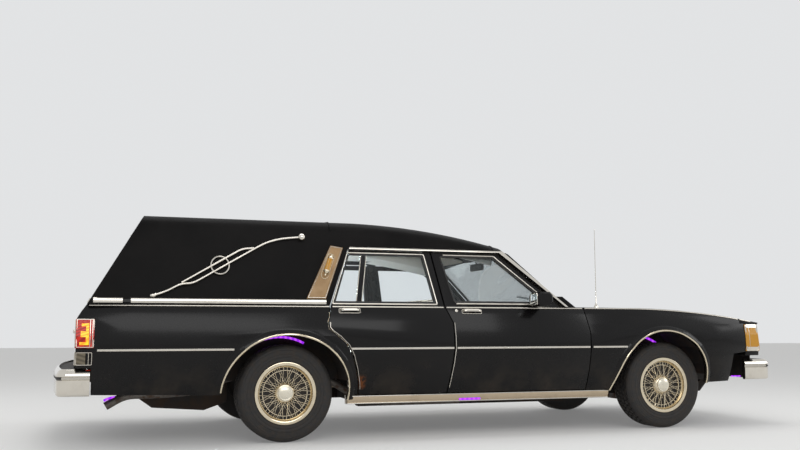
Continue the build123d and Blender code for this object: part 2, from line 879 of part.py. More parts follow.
# Drip rails over the doors and down the A pillars
with BuildPart() as drip_rails:
    rail_out = pillar_width * 0.35
    drip_face = polygon([
        (c_post_x + 160, drip_z),
        (fa - 1345, drip_z),
        (pillar_foot[0] + pillar_gap_x, belt_z + 4),
        (pillar_foot[0] + pillar_gap_x + rail_out, belt_z + 4),
        (fa - 1338 + rail_out, drip_z + 12),
        (c_post_x + 164, drip_z + 12),
    ])
    add(side_prism(drip_face))
    add(window_slab(-22, 20, belt_z, frame_top + 60), mode=Mode.INTERSECT)
    add(roof.part, mode=Mode.SUBTRACT)
    add(windshield.part, mode=Mode.SUBTRACT)
    mirror(about=Plane.XZ)
export(drip_rails.part, "drip_rails")

# Floor: footwell with tunnel, riser behind the seat, load floor
deck_rear = rear_face + tail_thick + 10
deck_step_x = rocker_rear + 30
well_half = floor_half - 50
with BuildPart() as floor_pan:
    with BuildSketch(Plane.YZ.offset(deck_front)):
        with Locations((0, floor_z + floor_thick / 2)):
            Rectangle(2 * floor_half, floor_thick)
        with Locations((0, floor_z + tunnel_height / 2)):
            Rectangle(2 * tunnel_half, tunnel_height)
        with Locations((0, floor_z + (tunnel_height - floor_thick) / 2)):
            Rectangle(2 * tunnel_half - 30, tunnel_height - floor_thick, mode=Mode.SUBTRACT)
    extrude(amount=firewall_x - deck_front)
    add(block(deck_front - 20, deck_front, -well_half, well_half, floor_z, deck_z + deck_thick))
    add(block(deck_step_x, deck_front, -well_half, well_half, deck_z, deck_z + deck_thick))
    add(block(deck_rear, deck_step_x, -deck_half, deck_half, deck_z, deck_z + deck_thick))
    add(block(deck_rear, ra - well_radius - 10, -belt_half + 45, belt_half - 45, deck_z,
              deck_z + deck_thick))
export(floor_pan.part, "floor_pan")

# Ladder frame: two rails with kick-ups over the axles, and crossmembers
rail_y, rail_wide, rail_high = track_half - 353, 70, 80
rail_rear_z = deck_z - 156
rail_front_z = floor_z - 30
rail_nose_z = rail_front_z + 140
rail_table = [
    # x, bottom height
    (tail + 75, rail_rear_z),
    (ra - 500, rail_rear_z),
    (ra - 380, deck_z - rail_high),
    (ra + 380, deck_z - rail_high),
    (ra + 620, floor_z - rail_high),
    (firewall_x + 30, floor_z - rail_high),
    (fa - 400, rail_front_z),
    (fa + 630, rail_front_z),
    (fa + 760, rail_nose_z),
    (fa + 930, rail_nose_z),
]
crossmember_table = [
    # x, height of the rail there
    (tail + 330, rail_rear_z),
    (ra + 700, floor_z - rail_high),
    (fa - 1300, floor_z - rail_high),
    (fa + 840, rail_nose_z),
]
with BuildPart() as frame:
    with BuildSketch(Plane.XZ.offset(rail_y - rail_wide / 2)):
        add(polygon(rail_table + [(x, z + rail_high) for x, z in rail_table[::-1]]))
    extrude(amount=rail_wide)
    mirror(about=Plane.XZ)
    for x, z in crossmember_table:
        add(block(x - 30, x + 30, -rail_y, rail_y, z + 10, z + rail_high - 10))
export(frame.part, "frame")

# Cowl: firewall, top shelf and hinge posts
with BuildPart() as cowl_panel:
    add(block(firewall_x, firewall_x + 20, -floor_half, floor_half, floor_z, cowl_z))
    add(block(base_x - 120, firewall_x + 20, -floor_half, floor_half, cowl_z - 18, cowl_z))
    with BuildPart(mode=Mode.PRIVATE) as hinge_posts:
        add(block(hinge_front_x + 12, firewall_x + 20, -side_far, -floor_half + 60,
                  rocker_z, cowl_z))
        add(body_side(skin, 400), mode=Mode.INTERSECT)
        mirror(about=Plane.XZ)
    add(hinge_posts.part)
    add(block(fa - 900, fa, -tunnel_half + 15, tunnel_half - 15, 0,
              floor_z + tunnel_height - floor_thick), mode=Mode.SUBTRACT)
export(cowl_panel.part, "cowl_panel")

# Dashboard with the steering column on the left
dash_rear = fa - 880
column_y = floor_half - 410
column_turn = 28
column_end = (fa - 1010, column_y, belt_z - 114)
column_dir = (-cos(radians(column_turn)), 0, sin(radians(column_turn)))
column_radius = 28
spindle_radius = 11
spindle_long = 40
hub_wheel_radius = 45
with BuildPart() as dashboard:
    with BuildSketch(Plane.XZ.offset(-floor_half + 60)):
        add(polygon([
            (firewall_x, belt_z - 54),
            (dash_rear + 60, belt_z - 51),
            (dash_rear, belt_z - 84),
            (dash_rear + 10, belt_z - 214),
            (dash_rear + 110, belt_z - 304),
            (firewall_x, belt_z - 314),
        ]))
    extrude(amount=2 * (floor_half - 60))
    column_plane = Plane(origin=column_end, x_dir=(0, 1, 0), z_dir=column_dir)
    with BuildSketch(column_plane.offset(-220)):
        Circle(column_radius)
    extrude(amount=220)
    with BuildSketch(column_plane):
        Circle(spindle_radius)
    extrude(amount=spindle_long)
export(dashboard.part, "dashboard")

# Steering wheel turning on the column's spindle
wheel_radius = 190
wheel_rim, wheel_sides, wheel_spokes = 24, 24, 3
with BuildPart() as steering_wheel:
    with BuildSketch(column_plane.offset(8)):
        RegularPolygon(hub_wheel_radius, wheel_sides)
        Circle(spindle_radius + running_fit, mode=Mode.SUBTRACT)
    extrude(amount=spindle_long)
    with BuildSketch(column_plane.offset(16)):
        RegularPolygon(wheel_radius, wheel_sides)
        RegularPolygon(wheel_radius - wheel_rim, wheel_sides, mode=Mode.SUBTRACT)
        with PolarLocations((hub_wheel_radius + wheel_radius) / 2 - 8, wheel_spokes,
                            start_angle=30):
            Rectangle(wheel_radius - hub_wheel_radius, 28)
    extrude(amount=22)
export(steering_wheel.part, "steering_wheel")

# Bench seat
seat_half = floor_half - 100
seat_foot = floor_z + floor_thick
seat_base = seat_foot + tunnel_height
with BuildPart() as front_seat:
    with BuildSketch(Plane.XZ.offset(-seat_half)):
        add(polygon([
            (deck_front + 60, seat_base),
            (deck_front + 640, seat_base),
            (deck_front + 700, seat_base + 60),
            (deck_front + 690, seat_base + 130),
            (deck_front + 270, seat_base + 110),
            (deck_front + 150, seat_base + 580),
            (deck_front + 40, seat_base + 580),
        ]))
    extrude(amount=2 * seat_half)
    for y0, y1 in ((60 - seat_half, -tunnel_half - 30), (tunnel_half + 30, seat_half - 60)):
        add(block(deck_front + 90, deck_front + 600, y0, y1, seat_foot, seat_base))
export(front_seat.part, "front_seat")

# Casket deck: a board along each side, with rollers on the floor between them
board_z = deck_z + deck_thick
board_rear, board_front = deck_rear + 30, deck_front - 40
board_inner, board_half, board_thick = 290, deck_half - 40, 18
with BuildPart() as casket_deck:
    add(block(board_rear, board_front, -board_half, -board_inner, board_z, board_z + board_thick))
    mirror(about=Plane.XZ)
export(casket_deck.part, "casket_deck")

roller_radius, roller_count, roller_sides = 18, 5, 12
roller_half, bracket_thick = board_inner - 30, 15
roller_pitch = (board_front - board_rear) / roller_count
roller_z = board_z + roller_radius + 10
with BuildPart() as casket_rollers:
    for number in range(roller_count):
        roller_x = board_rear + 60 + number * roller_pitch
        with BuildSketch(Plane.XZ.offset(-roller_half)):
            with Locations((roller_x, roller_z)):
                RegularPolygon(roller_radius, roller_sides)
        extrude(amount=2 * roller_half)
        for y in (-roller_half - bracket_thick, roller_half):
            add(block(roller_x - 24, roller_x + 24, y, y + bracket_thick, board_z,
                      roller_z + roller_radius - 4))
export(casket_rollers.part, "casket_rollers")

# Nose panel across the front, with openings for grille and lamps
nose_face = fa + 860
nose_foot = belt_z - 369
grille_half, grille_low, grille_high = half_width - 685, belt_z - 344, belt_z - 144
lamp_wide, lamp_tall = 190, 125
lamp_outer, lamp_inner = half_width - 335, half_width - 550
lamp_places = (-lamp_outer, -lamp_inner, lamp_inner, lamp_outer)
head_z = belt_z - 242
corner_in = half_width - 185
corner_low, corner_high = belt_z - 334, belt_z - 124
with BuildPart() as nose_panel:
    with BuildSketch(Plane.XZ.offset(-side_far)):
        add(polygon([
            (nose_split_high, nose_split_z),
            (nose_split_high, belt_z),
            (nose, belt_z),
            (nose_face, belt_z - 134),
            (nose_face + 14, nose_foot),
            (nose_split_low, nose_foot),
            (nose_split_low, nose_split_z),
        ]))
    extrude(amount=2 * side_far)
    add(below_hood.part, mode=Mode.INTERSECT)
    with BuildPart(mode=Mode.PRIVATE) as both_sides:
        add(body_side(0, half_width + 15))
        mirror(about=Plane.XZ)
    add(both_sides.part, mode=Mode.INTERSECT)
    add(block(nose_face - 30, nose, -grille_half, grille_half, grille_low, grille_high),
        mode=Mode.SUBTRACT)
    for y in lamp_places:
        add(block(nose_face - 40, nose, y - lamp_wide / 2, y + lamp_wide / 2,
                  head_z - lamp_tall / 2, head_z + lamp_tall / 2), mode=Mode.SUBTRACT)
    add(block(fa, nose_face - 60, 60 - corner_in, corner_in - 60, 0, belt_z - 134),
        mode=Mode.SUBTRACT)
    for y0, y1 in ((-side_far, -corner_in), (corner_in, side_far)):
        add(block(fa, nose, y0, y1, corner_low, corner_high), mode=Mode.SUBTRACT)
export(nose_panel.part, "nose_panel")

with BuildPart() as headlamps:
    for y in lamp_places:
        add(block(nose_face - 40, nose_face - 12, y - lamp_wide / 2, y + lamp_wide / 2,
                  head_z - lamp_tall / 2, head_z + lamp_tall / 2))
export(headlamps.part, "headlamps")

with BuildPart() as corner_lamps:
    with BuildSketch(Plane.XZ.offset(corner_in)):
        add(polygon([
            (nose_split_low, corner_low),
            (nose_split_low, corner_high),
            (nose_face + 2, corner_high),
            (nose_face + 16, corner_low),
        ]))
    extrude(amount=side_far - corner_in)
    add(body_side(-3, 400), mode=Mode.INTERSECT)
    mirror(about=Plane.XZ)
export(corner_lamps.part, "corner_lamps")

grille_bars, grille_bar_wide, grille_rail = 14, 10, 12
with BuildPart() as grille:
    add(block(nose_face - 30, nose_face - 24, -grille_half, grille_half, grille_low, grille_high))
    grille_pitch = (2 * grille_half - grille_bar_wide) / (grille_bars - 1)
    for number in range(grille_bars):
        bar_y = number * grille_pitch - grille_half
        add(block(nose_face - 24, nose_face + 8, bar_y, bar_y + grille_bar_wide, grille_low,
                  grille_high))
    for z in (grille_low, grille_high - grille_rail):
        add(block(nose_face - 24, nose_face + 8, -grille_half, grille_half, z, z + grille_rail))
export(grille.part, "grille")


def bumper(end_x, face_x, centre_x, half, low, high):
    """A wrapped bumper bar: hollow towards the body, bowed across the car."""
    out = 1 if centre_x > end_x else -1
    wall = 34
    with BuildPart() as bar:
        with BuildSketch(Plane.XY.offset(low)):
            with BuildLine():
                Line((end_x, -half), (face_x, -half + 12))
                ThreePointArc((face_x, -half + 12), (centre_x, 0), (face_x, half - 12))
                Line((face_x, half - 12), (end_x, half))
                Line((end_x, half), (end_x, half - wall))
                Line((end_x, half - wall), (face_x - out * wall, half - wall - 12))
                ThreePointArc(
                    (face_x - out * wall, half - wall - 12),
                    (centre_x - out * wall, 0),
                    (face_x - out * wall, -half + wall + 12),
                )
                Line((face_x - out * wall, -half + wall + 12), (end_x, -half + wall))
                Line((end_x, -half + wall), (end_x, -half))
            make_face()
        extrude(amount=high - low)
    return bar.part


bumper_half = half_width - 80
with BuildPart() as front_bumper:
    add(bumper(fa + 745, nose - 50, nose, bumper_half, rail_nose_z - 24, rail_nose_z + 132))
    for y in (-rail_y, rail_y):
        add(block(fa + 930, nose - 34, y - 35, y + 35, rail_nose_z, rail_nose_z + rail_high))
export(front_bumper.part, "front_bumper")

with BuildPart() as rear_bumper:
    add(bumper(ra - 1250, tail + 46, tail, bumper_half + 20, bumper_cut_z - 176,
               bumper_cut_z - 7))
    for y in (-rail_y, rail_y):
        add(block(tail + 20, tail + 75, y - 35, y + 35, rail_rear_z, rail_rear_z + rail_high))
export(rear_bumper.part, "rear_bumper")

# Rear valance between the corner posts, below the tail door, notched for the rails
with BuildPart() as rear_valance:
    add(block(rear_face + 10, rear_face + 40, -tail_half - gap, tail_half + gap,
              bumper_cut_z - 162, tail_bottom - 12))
    for y in (-rail_y, rail_y):
        add(block(tail, ra, y - 38, y + 38, sill_z, rail_rear_z + rail_high + 4),
            mode=Mode.SUBTRACT)
export(rear_valance.part, "rear_valance")

# Engine block with sump and gearbox, radiator
engine_z = rail_front_z + 90
with BuildPart() as engine:
    add(block(fa - 460, fa + 330, -290, 290, engine_z, belt_z - 114))
    add(block(firewall_x - 700, fa - 460, -120, 120, floor_z - 10, floor_z + 120))
    add(block(fa - 60, fa + 60, -150, 150, engine_z - 90, engine_z))
export(engine.part, "engine")

with BuildPart() as radiator:
    add(block(fa + 560, fa + 620, -rail_y, rail_y, rail_front_z + 80, belt_z - 134))
export(radiator.part, "radiator")

# Rear axle with differential: eight-sided castings, round spindles for the wheels
axle_radius, casting_sides = 40, 8
diff_radius, diff_half = 120, 110
with BuildPart() as rear_axle:
    with BuildSketch(Plane.XZ.offset(100 - track_half)):
        with Locations((ra, axle_z)):
            RegularPolygon(axle_radius, casting_sides)
    extrude(amount=2 * track_half - 200)
    with BuildSketch(Plane.XZ.offset(-track_half)):
        with Locations((ra, axle_z)):
            Circle(hub_radius)
    extrude(amount=2 * track_half)
    with BuildSketch(Plane.XZ.offset(-diff_half)):
        with Locations((ra, axle_z)):
            RegularPolygon(diff_radius, casting_sides)
    extrude(amount=2 * diff_half)
    add(block(ra + 60, ra + 180, -60, 60, axle_z - 60, axle_z + 60))
    for y in (-rail_y, rail_y):
        add(block(ra - 40, ra + 40, y - 30, y + 30, axle_z + 20, deck_z - rail_high))
export(rear_axle.part, "rear_axle")

# Front suspension crossmember and arms
arm_end = kingpin_y - 93
rail_side = rail_y + rail_wide / 2
arm_table = [
    # half length, inner half width, outer half width, bottom, top
    (50, rail_side, arm_end, axle_z - 125, axle_z - 100),
    (35, rail_side, arm_end, axle_z + 95, axle_z + 115),
    (50, rail_side - 25, rail_side, rail_front_z + rail_high, axle_z + 115),
]
with BuildPart() as front_suspension:
    add(block(fa - 70, fa + 70, -rail_side, rail_side, rail_front_z - 60, rail_front_z))
    for half_long, inner, outer, low, high in arm_table:
        for y0, y1 in ((-outer, -inner), (inner, outer)):
            add(block(fa - half_long, fa + half_long, y0, y1, low, high))
export(front_suspension.part, "front_suspension")

# Steering knuckles: upright with a spindle for the wheel
with BuildPart() as knuckle:
    add(block(fa - 30, fa + 30, -kingpin_y - 20, -arm_end - 25, axle_z - 120, axle_z + 110))
    with BuildSketch(Plane.XZ.offset(kingpin_y - 10)):
        with Locations((fa, axle_z)):
            Circle(hub_radius)
    extrude(amount=track_half - kingpin_y + 10)
export_sides(knuckle.part, "knuckle")

# Exhaust: silencer and tail pipe, over the axle and out behind the right wheel
pipe_y, pipe_end_y = -rail_y - 130, 285 - half_width
pipe_radius, pipe_sides = 28, 8
pipe_low_z, pipe_high_z, pipe_over_z = floor_z - 15, floor_z + 55, axle_z + 115
silencer_high = 70
with BuildPart() as exhaust:
    add(block(ra + 760, ra + 1360, pipe_y - 80, pipe_y + 60, floor_z - silencer_high,
              floor_z))
    with BuildLine() as pipe_line:
        Polyline(
            (ra + 770, pipe_y, floor_z - 36),
            (ra + 620, pipe_y, floor_z - 30),
            (ra + 300, pipe_y, pipe_over_z),
            (ra - 300, pipe_y, pipe_over_z),
            (ra - 560, pipe_y, axle_z + 5),
            (ra - 820, pipe_end_y, pipe_high_z),
            (ra - 1030, pipe_end_y, pipe_high_z),
            (ra - 1150, pipe_end_y, pipe_low_z),
        )
    with BuildSketch(pipe_line.line ^ 0):
        RegularPolygon(pipe_radius, pipe_sides)
    sweep(path=pipe_line.line, transition=Transition.RIGHT)
export(exhaust.part, "exhaust")

# Fuel tank behind the axle
tank_z = rail_rear_z
with BuildPart() as fuel_tank:
    with BuildSketch(Plane.XZ.offset(-300)):
        add(polygon([
            (ra - 1000, tank_z - 70),
            (ra - 850, tank_z - 178),
            (ra - 500, tank_z - 204),
            (ra - 346, tank_z - 150),
            (ra - 346, tank_z),
            (ra - 1000, tank_z),
        ]))
    extrude(amount=260 - pipe_y)
export(fuel_tank.part, "fuel_tank")

# Aerial on the right fender
antenna_x, antenna_y = fa - 571, 45 - belt_half
antenna_base, antenna_rod, antenna_long = 14, 3, 600
with BuildPart() as antenna:
    with BuildSketch(Plane.XY.offset(belt_z)):
        with Locations((antenna_x, antenna_y)):
            RegularPolygon(antenna_base, 12)
    extrude(amount=30, taper=12)
    with BuildSketch(Plane.XY.offset(belt_z + 20)):
        with Locations((antenna_x, antenna_y)):
            RegularPolygon(antenna_rod, 6)
    extrude(amount=antenna_long - 20)
export(antenna.part, "antenna")


def turned(centre_x, points):
    """A solid turned about the right wheel's axle, from radius and y points."""
    with BuildPart() as ring:
        with BuildSketch(Plane.XY.offset(axle_z)):
            add(polygon([(centre_x + radius, y) for radius, y in points]))
        revolve(axis=Axis((centre_x, 0, axle_z), (0, 1, 0)), revolution_arc=360)
    return ring.part


def tyre(centre_x):
    """Plain tyre on the right side."""
    outer = -track_half - tyre_width / 2
    inner = -track_half + tyre_width / 2
    return turned(centre_x, [
        (rim_radius, outer),
        (rim_radius, inner),
        (tyre_radius - tyre_shoulder, inner),
        (tyre_radius, inner - tyre_shoulder),
        (tyre_radius, outer + tyre_shoulder),
        (tyre_radius - tyre_shoulder, outer),
    ])


def wheel(centre_x):
    """Dished wheel on the right side, with a centre cap outside and a hub bore inside."""
    face = track_half + tyre_width / 2 - 14
    web_back = kingpin_y + 30
    web_face = face - rim_dish
    back = track_half - tyre_width / 2 + 20
    with BuildPart() as disc:
        with BuildSketch(Plane.XZ.offset(back)):
            with Locations((centre_x, axle_z)):
                Circle(rim_radius)
                RegularPolygon(rim_radius - rim_lip, dish_sides, mode=Mode.SUBTRACT)
        extrude(amount=face - back)
        with BuildSketch(Plane.XZ.offset(web_back)):
            with Locations((centre_x, axle_z)):
                RegularPolygon(rim_radius - rim_lip, dish_sides)
        extrude(amount=web_face - web_back)
        with BuildSketch(Plane.XZ.offset(web_face)):
            with Locations((centre_x, axle_z)):
                RegularPolygon(cap_radius, cap_sides)
        extrude(amount=rim_dish)
        with BuildSketch(Plane.XZ.offset(web_back)):
            with Locations((centre_x, axle_z)):
                Circle(hub_radius + running_fit)
        extrude(amount=track_half + 10 - web_back, mode=Mode.SUBTRACT)
    return disc.part


export_sides(tyre(ra), "rear_tyre")
export_sides(wheel(ra), "rear_wheel")
export_sides(tyre(fa), "front_tyre")
export_sides(wheel(fa), "front_wheel")
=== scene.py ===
import math

import bmesh
import bpy
from mathutils import Matrix, Vector


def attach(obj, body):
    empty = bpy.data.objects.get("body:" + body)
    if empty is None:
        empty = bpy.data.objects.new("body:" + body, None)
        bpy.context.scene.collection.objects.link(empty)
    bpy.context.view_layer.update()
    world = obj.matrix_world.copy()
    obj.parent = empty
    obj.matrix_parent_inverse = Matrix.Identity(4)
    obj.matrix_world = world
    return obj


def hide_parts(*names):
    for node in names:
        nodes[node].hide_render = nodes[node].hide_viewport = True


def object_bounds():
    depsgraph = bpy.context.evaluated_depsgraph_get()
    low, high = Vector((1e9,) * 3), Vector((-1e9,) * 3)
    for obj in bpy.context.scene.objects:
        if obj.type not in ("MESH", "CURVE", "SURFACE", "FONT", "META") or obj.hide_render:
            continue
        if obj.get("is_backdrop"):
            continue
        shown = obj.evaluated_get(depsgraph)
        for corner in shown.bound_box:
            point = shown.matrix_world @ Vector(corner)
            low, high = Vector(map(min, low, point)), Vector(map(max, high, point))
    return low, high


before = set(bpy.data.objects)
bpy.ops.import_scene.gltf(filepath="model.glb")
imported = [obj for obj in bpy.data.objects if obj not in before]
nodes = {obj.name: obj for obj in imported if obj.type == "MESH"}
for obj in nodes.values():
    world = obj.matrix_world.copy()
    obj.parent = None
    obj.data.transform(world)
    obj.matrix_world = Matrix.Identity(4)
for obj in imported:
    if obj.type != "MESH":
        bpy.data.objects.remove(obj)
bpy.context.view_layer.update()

scene = bpy.context.scene
scene.view_settings.view_transform = "Standard"

# Row frame in metres: +X forward, +Y to the car's left, +Z up
REAR_AXLE, FRONT_AXLE = -1.250, 1.696
AXLE_Z = 0.325
TRACK_HALF = 0.783
BELT = 0.914
RAIL_Y, DECK_HALF = -0.430, 0.600
UP = Vector((0, 0, 1))
AHEAD = Vector((1, 0, 0))
BEHIND = Vector((-1, 0, 0))
SIDEWAYS = Vector((0, -1, 0))
FIXED = "chassis"
MERGE, SKIN_MERGE = 0.00002, 0.00005
FLAT, EDGE = math.radians(1.0), math.radians(50)
MITRE_LIMIT, CORNER_LIMIT = 0.35, 0.2


# Shader maths

class Wire:
    """A shader socket that takes part in Python expressions."""

    def __init__(self, tree, socket):
        self.tree = tree
        self.socket = socket

    def maths(self, operation, first, second):
        node = self.tree.nodes.new("ShaderNodeMath")
        node.operation = operation
        for socket, value in zip(node.inputs, (first, second)):
            join(self.tree, socket, value)
        return Wire(self.tree, node.outputs[0])

    def __add__(self, other):
        return self.maths("ADD", self, other)

    def __radd__(self, other):
        return self.maths("ADD", other, self)

    def __rsub__(self, other):
        return self.maths("SUBTRACT", other, self)

    def __mul__(self, other):
        return self.maths("MULTIPLY", self, other)

    def __rmul__(self, other):
        return self.maths("MULTIPLY", other, self)


def join(tree, socket, value):
    """Links a wire to a socket, or sets the socket's own value."""
    if isinstance(value, Wire):
        tree.links.new(value.socket, socket)
    else:
        socket.default_value = value


class Finish:
    """A material under construction."""

    def __init__(self, name):
        self.material = bpy.data.materials.new(name)
        self.material.use_nodes = True
        self.tree = self.material.node_tree
        self.shader = self.tree.nodes["Principled BSDF"]
        self.output = self.tree.nodes["Material Output"]
        self.place = self.node("TexCoord", out="Object")

    def node(self, kind, settings=None, sockets=None, out=0):
        """Adds a node: its settings first, then its socket values or links."""
        made = self.tree.nodes.new("ShaderNode" + kind)
        for name, value in (settings or {}).items():
            setattr(made, name, value)
        for name, value in (sockets or {}).items():
            join(self.tree, made.inputs[name], value)
        return Wire(self.tree, made.outputs[out])

    def axis(self, name):
        return self.node("SeparateXYZ", sockets={"Vector": self.place}, out=name)

    def stretched(self, scale):
        return self.node("Mapping", sockets={"Vector": self.place, "Scale": scale})

    def noise(self, scale, detail=3.0, vector=None):
        return self.node("TexNoise", sockets={
            "Vector": vector or self.place, "Scale": scale, "Detail": detail, "Roughness": 0.55})

    def cells(self, scale):
        return self.node("TexVoronoi", {"feature": "SMOOTH_F1"}, {
            "Vector": self.place, "Scale": scale}, out="Distance")

    def wave(self, scale, direction):
        return self.node("TexWave", {"bands_direction": direction}, {
            "Vector": self.place, "Scale": scale}, out="Fac")

    def step(self, value, low, high, start=0.0, end=1.0):
        """A smooth step of a value between two limits."""
        return self.node("MapRange", {"interpolation_type": "SMOOTHSTEP"}, {
            "Value": value, "From Min": low, "From Max": high, "To Min": start, "To Max": end})

    def mix(self, share, first, second):
        """Blends two colours."""
        return self.node("Mix", {"data_type": "RGBA"}, {0: share, 6: first, 7: second}, out=2)

    def bump(self, height, strength, distance=0.001):
        return self.node("Bump", sockets={"Strength": strength, "Distance": distance,
                                          "Height": height})

    def surface(self, **sockets):
        """Sets the shader's sockets, written with underscores for spaces."""
        for name, value in sockets.items():
            join(self.tree, self.shader.inputs[name.replace("_", " ")], value)
        return self.material


def rgb(red, green, blue):
    return (red, green, blue, 1.0)


# Finishes

BLACK, ROAD_DUST = rgb(0.0045, 0.0040, 0.0042), rgb(0.085, 0.066, 0.048)
RUST = rgb(0.16, 0.055, 0.020)
PAINT_ROUGH, PAINT_COAT = 0.24, 0.26
PAINT_GLOSS = {"IOR": 1.45, "Specular_IOR_Level": 0.13, "Coat_Roughness": 0.15}


def dusty_film(f):
    """Road dust: thickest near the ground and patchy."""
    return f.step(f.axis("Z"), 0.20, 0.62, 1.0, 0.0) * f.step(f.noise(6, 5), 0.35, 0.75)


def make_paint():
    """Gloss black paint with road dust low down."""
    f = Finish("black_paint")
    dust = dusty_film(f) * 0.40 + f.step(f.noise(420, 2), 0.68, 0.78) * 0.05
    swirl = f.noise(22, 4)
    return f.surface(
        Base_Color=f.mix(dust, BLACK, ROAD_DUST),
        Roughness=PAINT_ROUGH + dust * 0.45 + swirl * 0.06, Coat_Weight=PAINT_COAT - dust * 0.2,
        Normal=f.bump(f.noise(90, 2), 0.012, 0.0004), **PAINT_GLOSS)


def make_rusty_paint():
    """The same paint with a brown worn patch by the wheel arch."""
    f = Finish("black_paint_worn")
    height = f.axis("Z")
    film = dusty_film(f)
    along = f.step(f.axis("X"), -0.722, -0.694, 1.0, 0.0)
    up = f.step(height, 0.335, 0.36) * f.step(height, 0.415, 0.45, 1.0, 0.0)
    worn = along * up * f.step(f.noise(52, 6), 0.34, 0.56)
    return f.surface(
        Base_Color=f.mix(worn, f.mix(film * 0.40, BLACK, ROAD_DUST), RUST),
        Roughness=PAINT_ROUGH + film * 0.2 + worn * 0.5,
        Coat_Weight=(1 - worn) * (PAINT_COAT - film * 0.10),
        Normal=f.bump(f.noise(90, 2) * 0.2 + worn * 0.6, 0.06, 0.0004), **PAINT_GLOSS)


def make_vinyl(name, base, high, sheen=0.5):
    """Grained vinyl cloth with a soft sheen."""
    f = Finish(name)
    grain = f.cells(420) + 0.5 * f.noise(900, 2)
    fade = f.step(f.noise(3.5, 4), 0.3, 0.75)
    colour = f.mix(fade, base, high)
    return f.surface(
        Base_Color=colour, Roughness=0.40 + 0.16 * fade, IOR=1.42, Specular_IOR_Level=sheen,
        Normal=f.bump(grain, 0.55, 0.0007))


def make_metal(name, tint, dull, rough, spots=0.10):
    """Plated metal with hazy patches and fine pits."""
    f = Finish(name)
    haze = f.step(f.noise(9, 5), 0.45, 0.80)
    pits = f.step(f.noise(520, 2), 0.70, 0.80) * spots
    colour = f.mix(haze * 0.35 + pits, tint, dull)
    return f.surface(
        Base_Color=colour, Metallic=1.0, Roughness=rough + 0.10 * haze + pits,
        Normal=f.bump(f.noise(160, 2), 0.02, 0.0005))


def make_glass(name, tint, film):
    """Thin glass: clear straight on, mirror-like at a glance."""
    f = Finish(name)
    smear = f.step(f.noise(5, 5), 0.45, 0.85)
    clear = f.node("BsdfTransparent", sockets={"Color": tint})
    facing = f.node("Fresnel", sockets={"IOR": 1.5})
    f.surface(Base_Color=rgb(0.75, 0.80, 0.80), Metallic=1.0, Roughness=0.02 + 0.10 * smear)
    gloss = Wire(f.tree, f.shader.outputs[0])
    mixed = f.node("MixShader", sockets={0: facing * 0.6 + film * smear, 1: clear, 2: gloss})
    join(f.tree, f.output.inputs["Surface"], mixed)
    return f.material


def make_lens(name, colour, deep, glow, power, pitch=90.0, direction="Y"):
    """Moulded lamp lens with flutes, lit from behind."""
    f = Finish(name)
    flutes = f.wave(pitch, direction)
    cross = f.wave(pitch * 0.6, "Z")
    tone = f.mix(flutes * 0.7, colour, deep)
    return f.surface(
        Base_Color=tone, Roughness=0.10 + 0.08 * cross, IOR=1.49, Specular_IOR_Level=0.35,
        Coat_Weight=0.2, Coat_Roughness=0.02, Emission_Strength=power,
        Emission_Color=f.mix(flutes * 0.6 + cross * 0.2, glow, deep),
        Normal=f.bump(flutes + 0.5 * cross, 0.35, 0.0012))


def make_rubber():
    """Tyre rubber: fine moulded rings, brown dust on the tread."""
    f = Finish("tyre_rubber")
    dust = f.step(f.noise(28, 5), 0.35, 0.80)
    colour = f.mix(dust * 0.7, rgb(0.012, 0.011, 0.011), rgb(0.052, 0.040, 0.030))
    return f.surface(
        Base_Color=colour, Roughness=0.62 + 0.22 * dust, IOR=1.5,
        Normal=f.bump(f.noise(340, 3), 0.25, 0.0006))


def make_plain(name, first, second, rough, scale=30.0, grain=300.0, depth=0.3):
    """A two-tone weathered surface."""
    f = Finish(name)
    patch = f.step(f.noise(scale, 5), 0.35, 0.72)
    return f.surface(
        Base_Color=f.mix(patch, first, second), Roughness=rough + 0.14 * patch,
        Normal=f.bump(f.noise(grain, 3) + patch * 0.5, depth, 0.0008))


def make_cloth():
    """Woven seat cloth with a light fleck."""
    f = Finish("seat_cloth")
    weave = f.wave(260, "Y") * f.wave(260, "X") + 0.5 * f.wave(260, "Z")
    fleck = f.step(f.noise(190, 3), 0.52, 0.70)
    shade = f.step(f.noise(7, 4), 0.3, 0.7)
    base = f.mix(shade, rgb(0.30, 0.235, 0.160), rgb(0.39, 0.32, 0.23))
    return f.surface(
        Base_Color=f.mix(fleck * 0.35, base, rgb(0.55, 0.49, 0.38)),
        Roughness=0.86, Sheen_Weight=0.25, Sheen_Roughness=0.5,
        Normal=f.bump(weave, 0.5, 0.0008))


def make_carpet(name, low, high):
    """Short cut pile."""
    f = Finish(name)
    pile = f.noise(620, 3)
    lay = f.step(f.noise(9, 3), 0.35, 0.65)
    return f.surface(
        Base_Color=f.mix(0.6 * pile + 0.3 * lay, low, high), Roughness=0.95,
        Sheen_Weight=0.2, Normal=f.bump(pile, 0.9, 0.002))


def make_wood():
    """Varnished deck boards with grain along the car."""
    f = Finish("deck_wood")
    rings = f.noise(5.0, 6, f.stretched((0.9, 14.0, 14.0)))
    fine = f.noise(60, 4, f.stretched((0.4, 6.0, 6.0)))
    colour = f.mix(rings * 0.75 + fine * 0.3, rgb(0.30, 0.13, 0.045), rgb(0.10, 0.036, 0.012))
    return f.surface(
        Base_Color=colour, Roughness=0.28 + 0.2 * fine, Coat_Weight=0.4, Coat_Roughness=0.1,
        Normal=f.bump(fine, 0.2, 0.0005))


def make_glow(name, colour, spot, power):
    """A lit diode bar, brighter at each diode."""
    f = Finish(name)
    dots = f.wave(9.0, "X")
    return f.surface(
        Base_Color=colour, Roughness=0.3, Emission_Strength=power,
        Emission_Color=f.mix(dots, colour, spot))


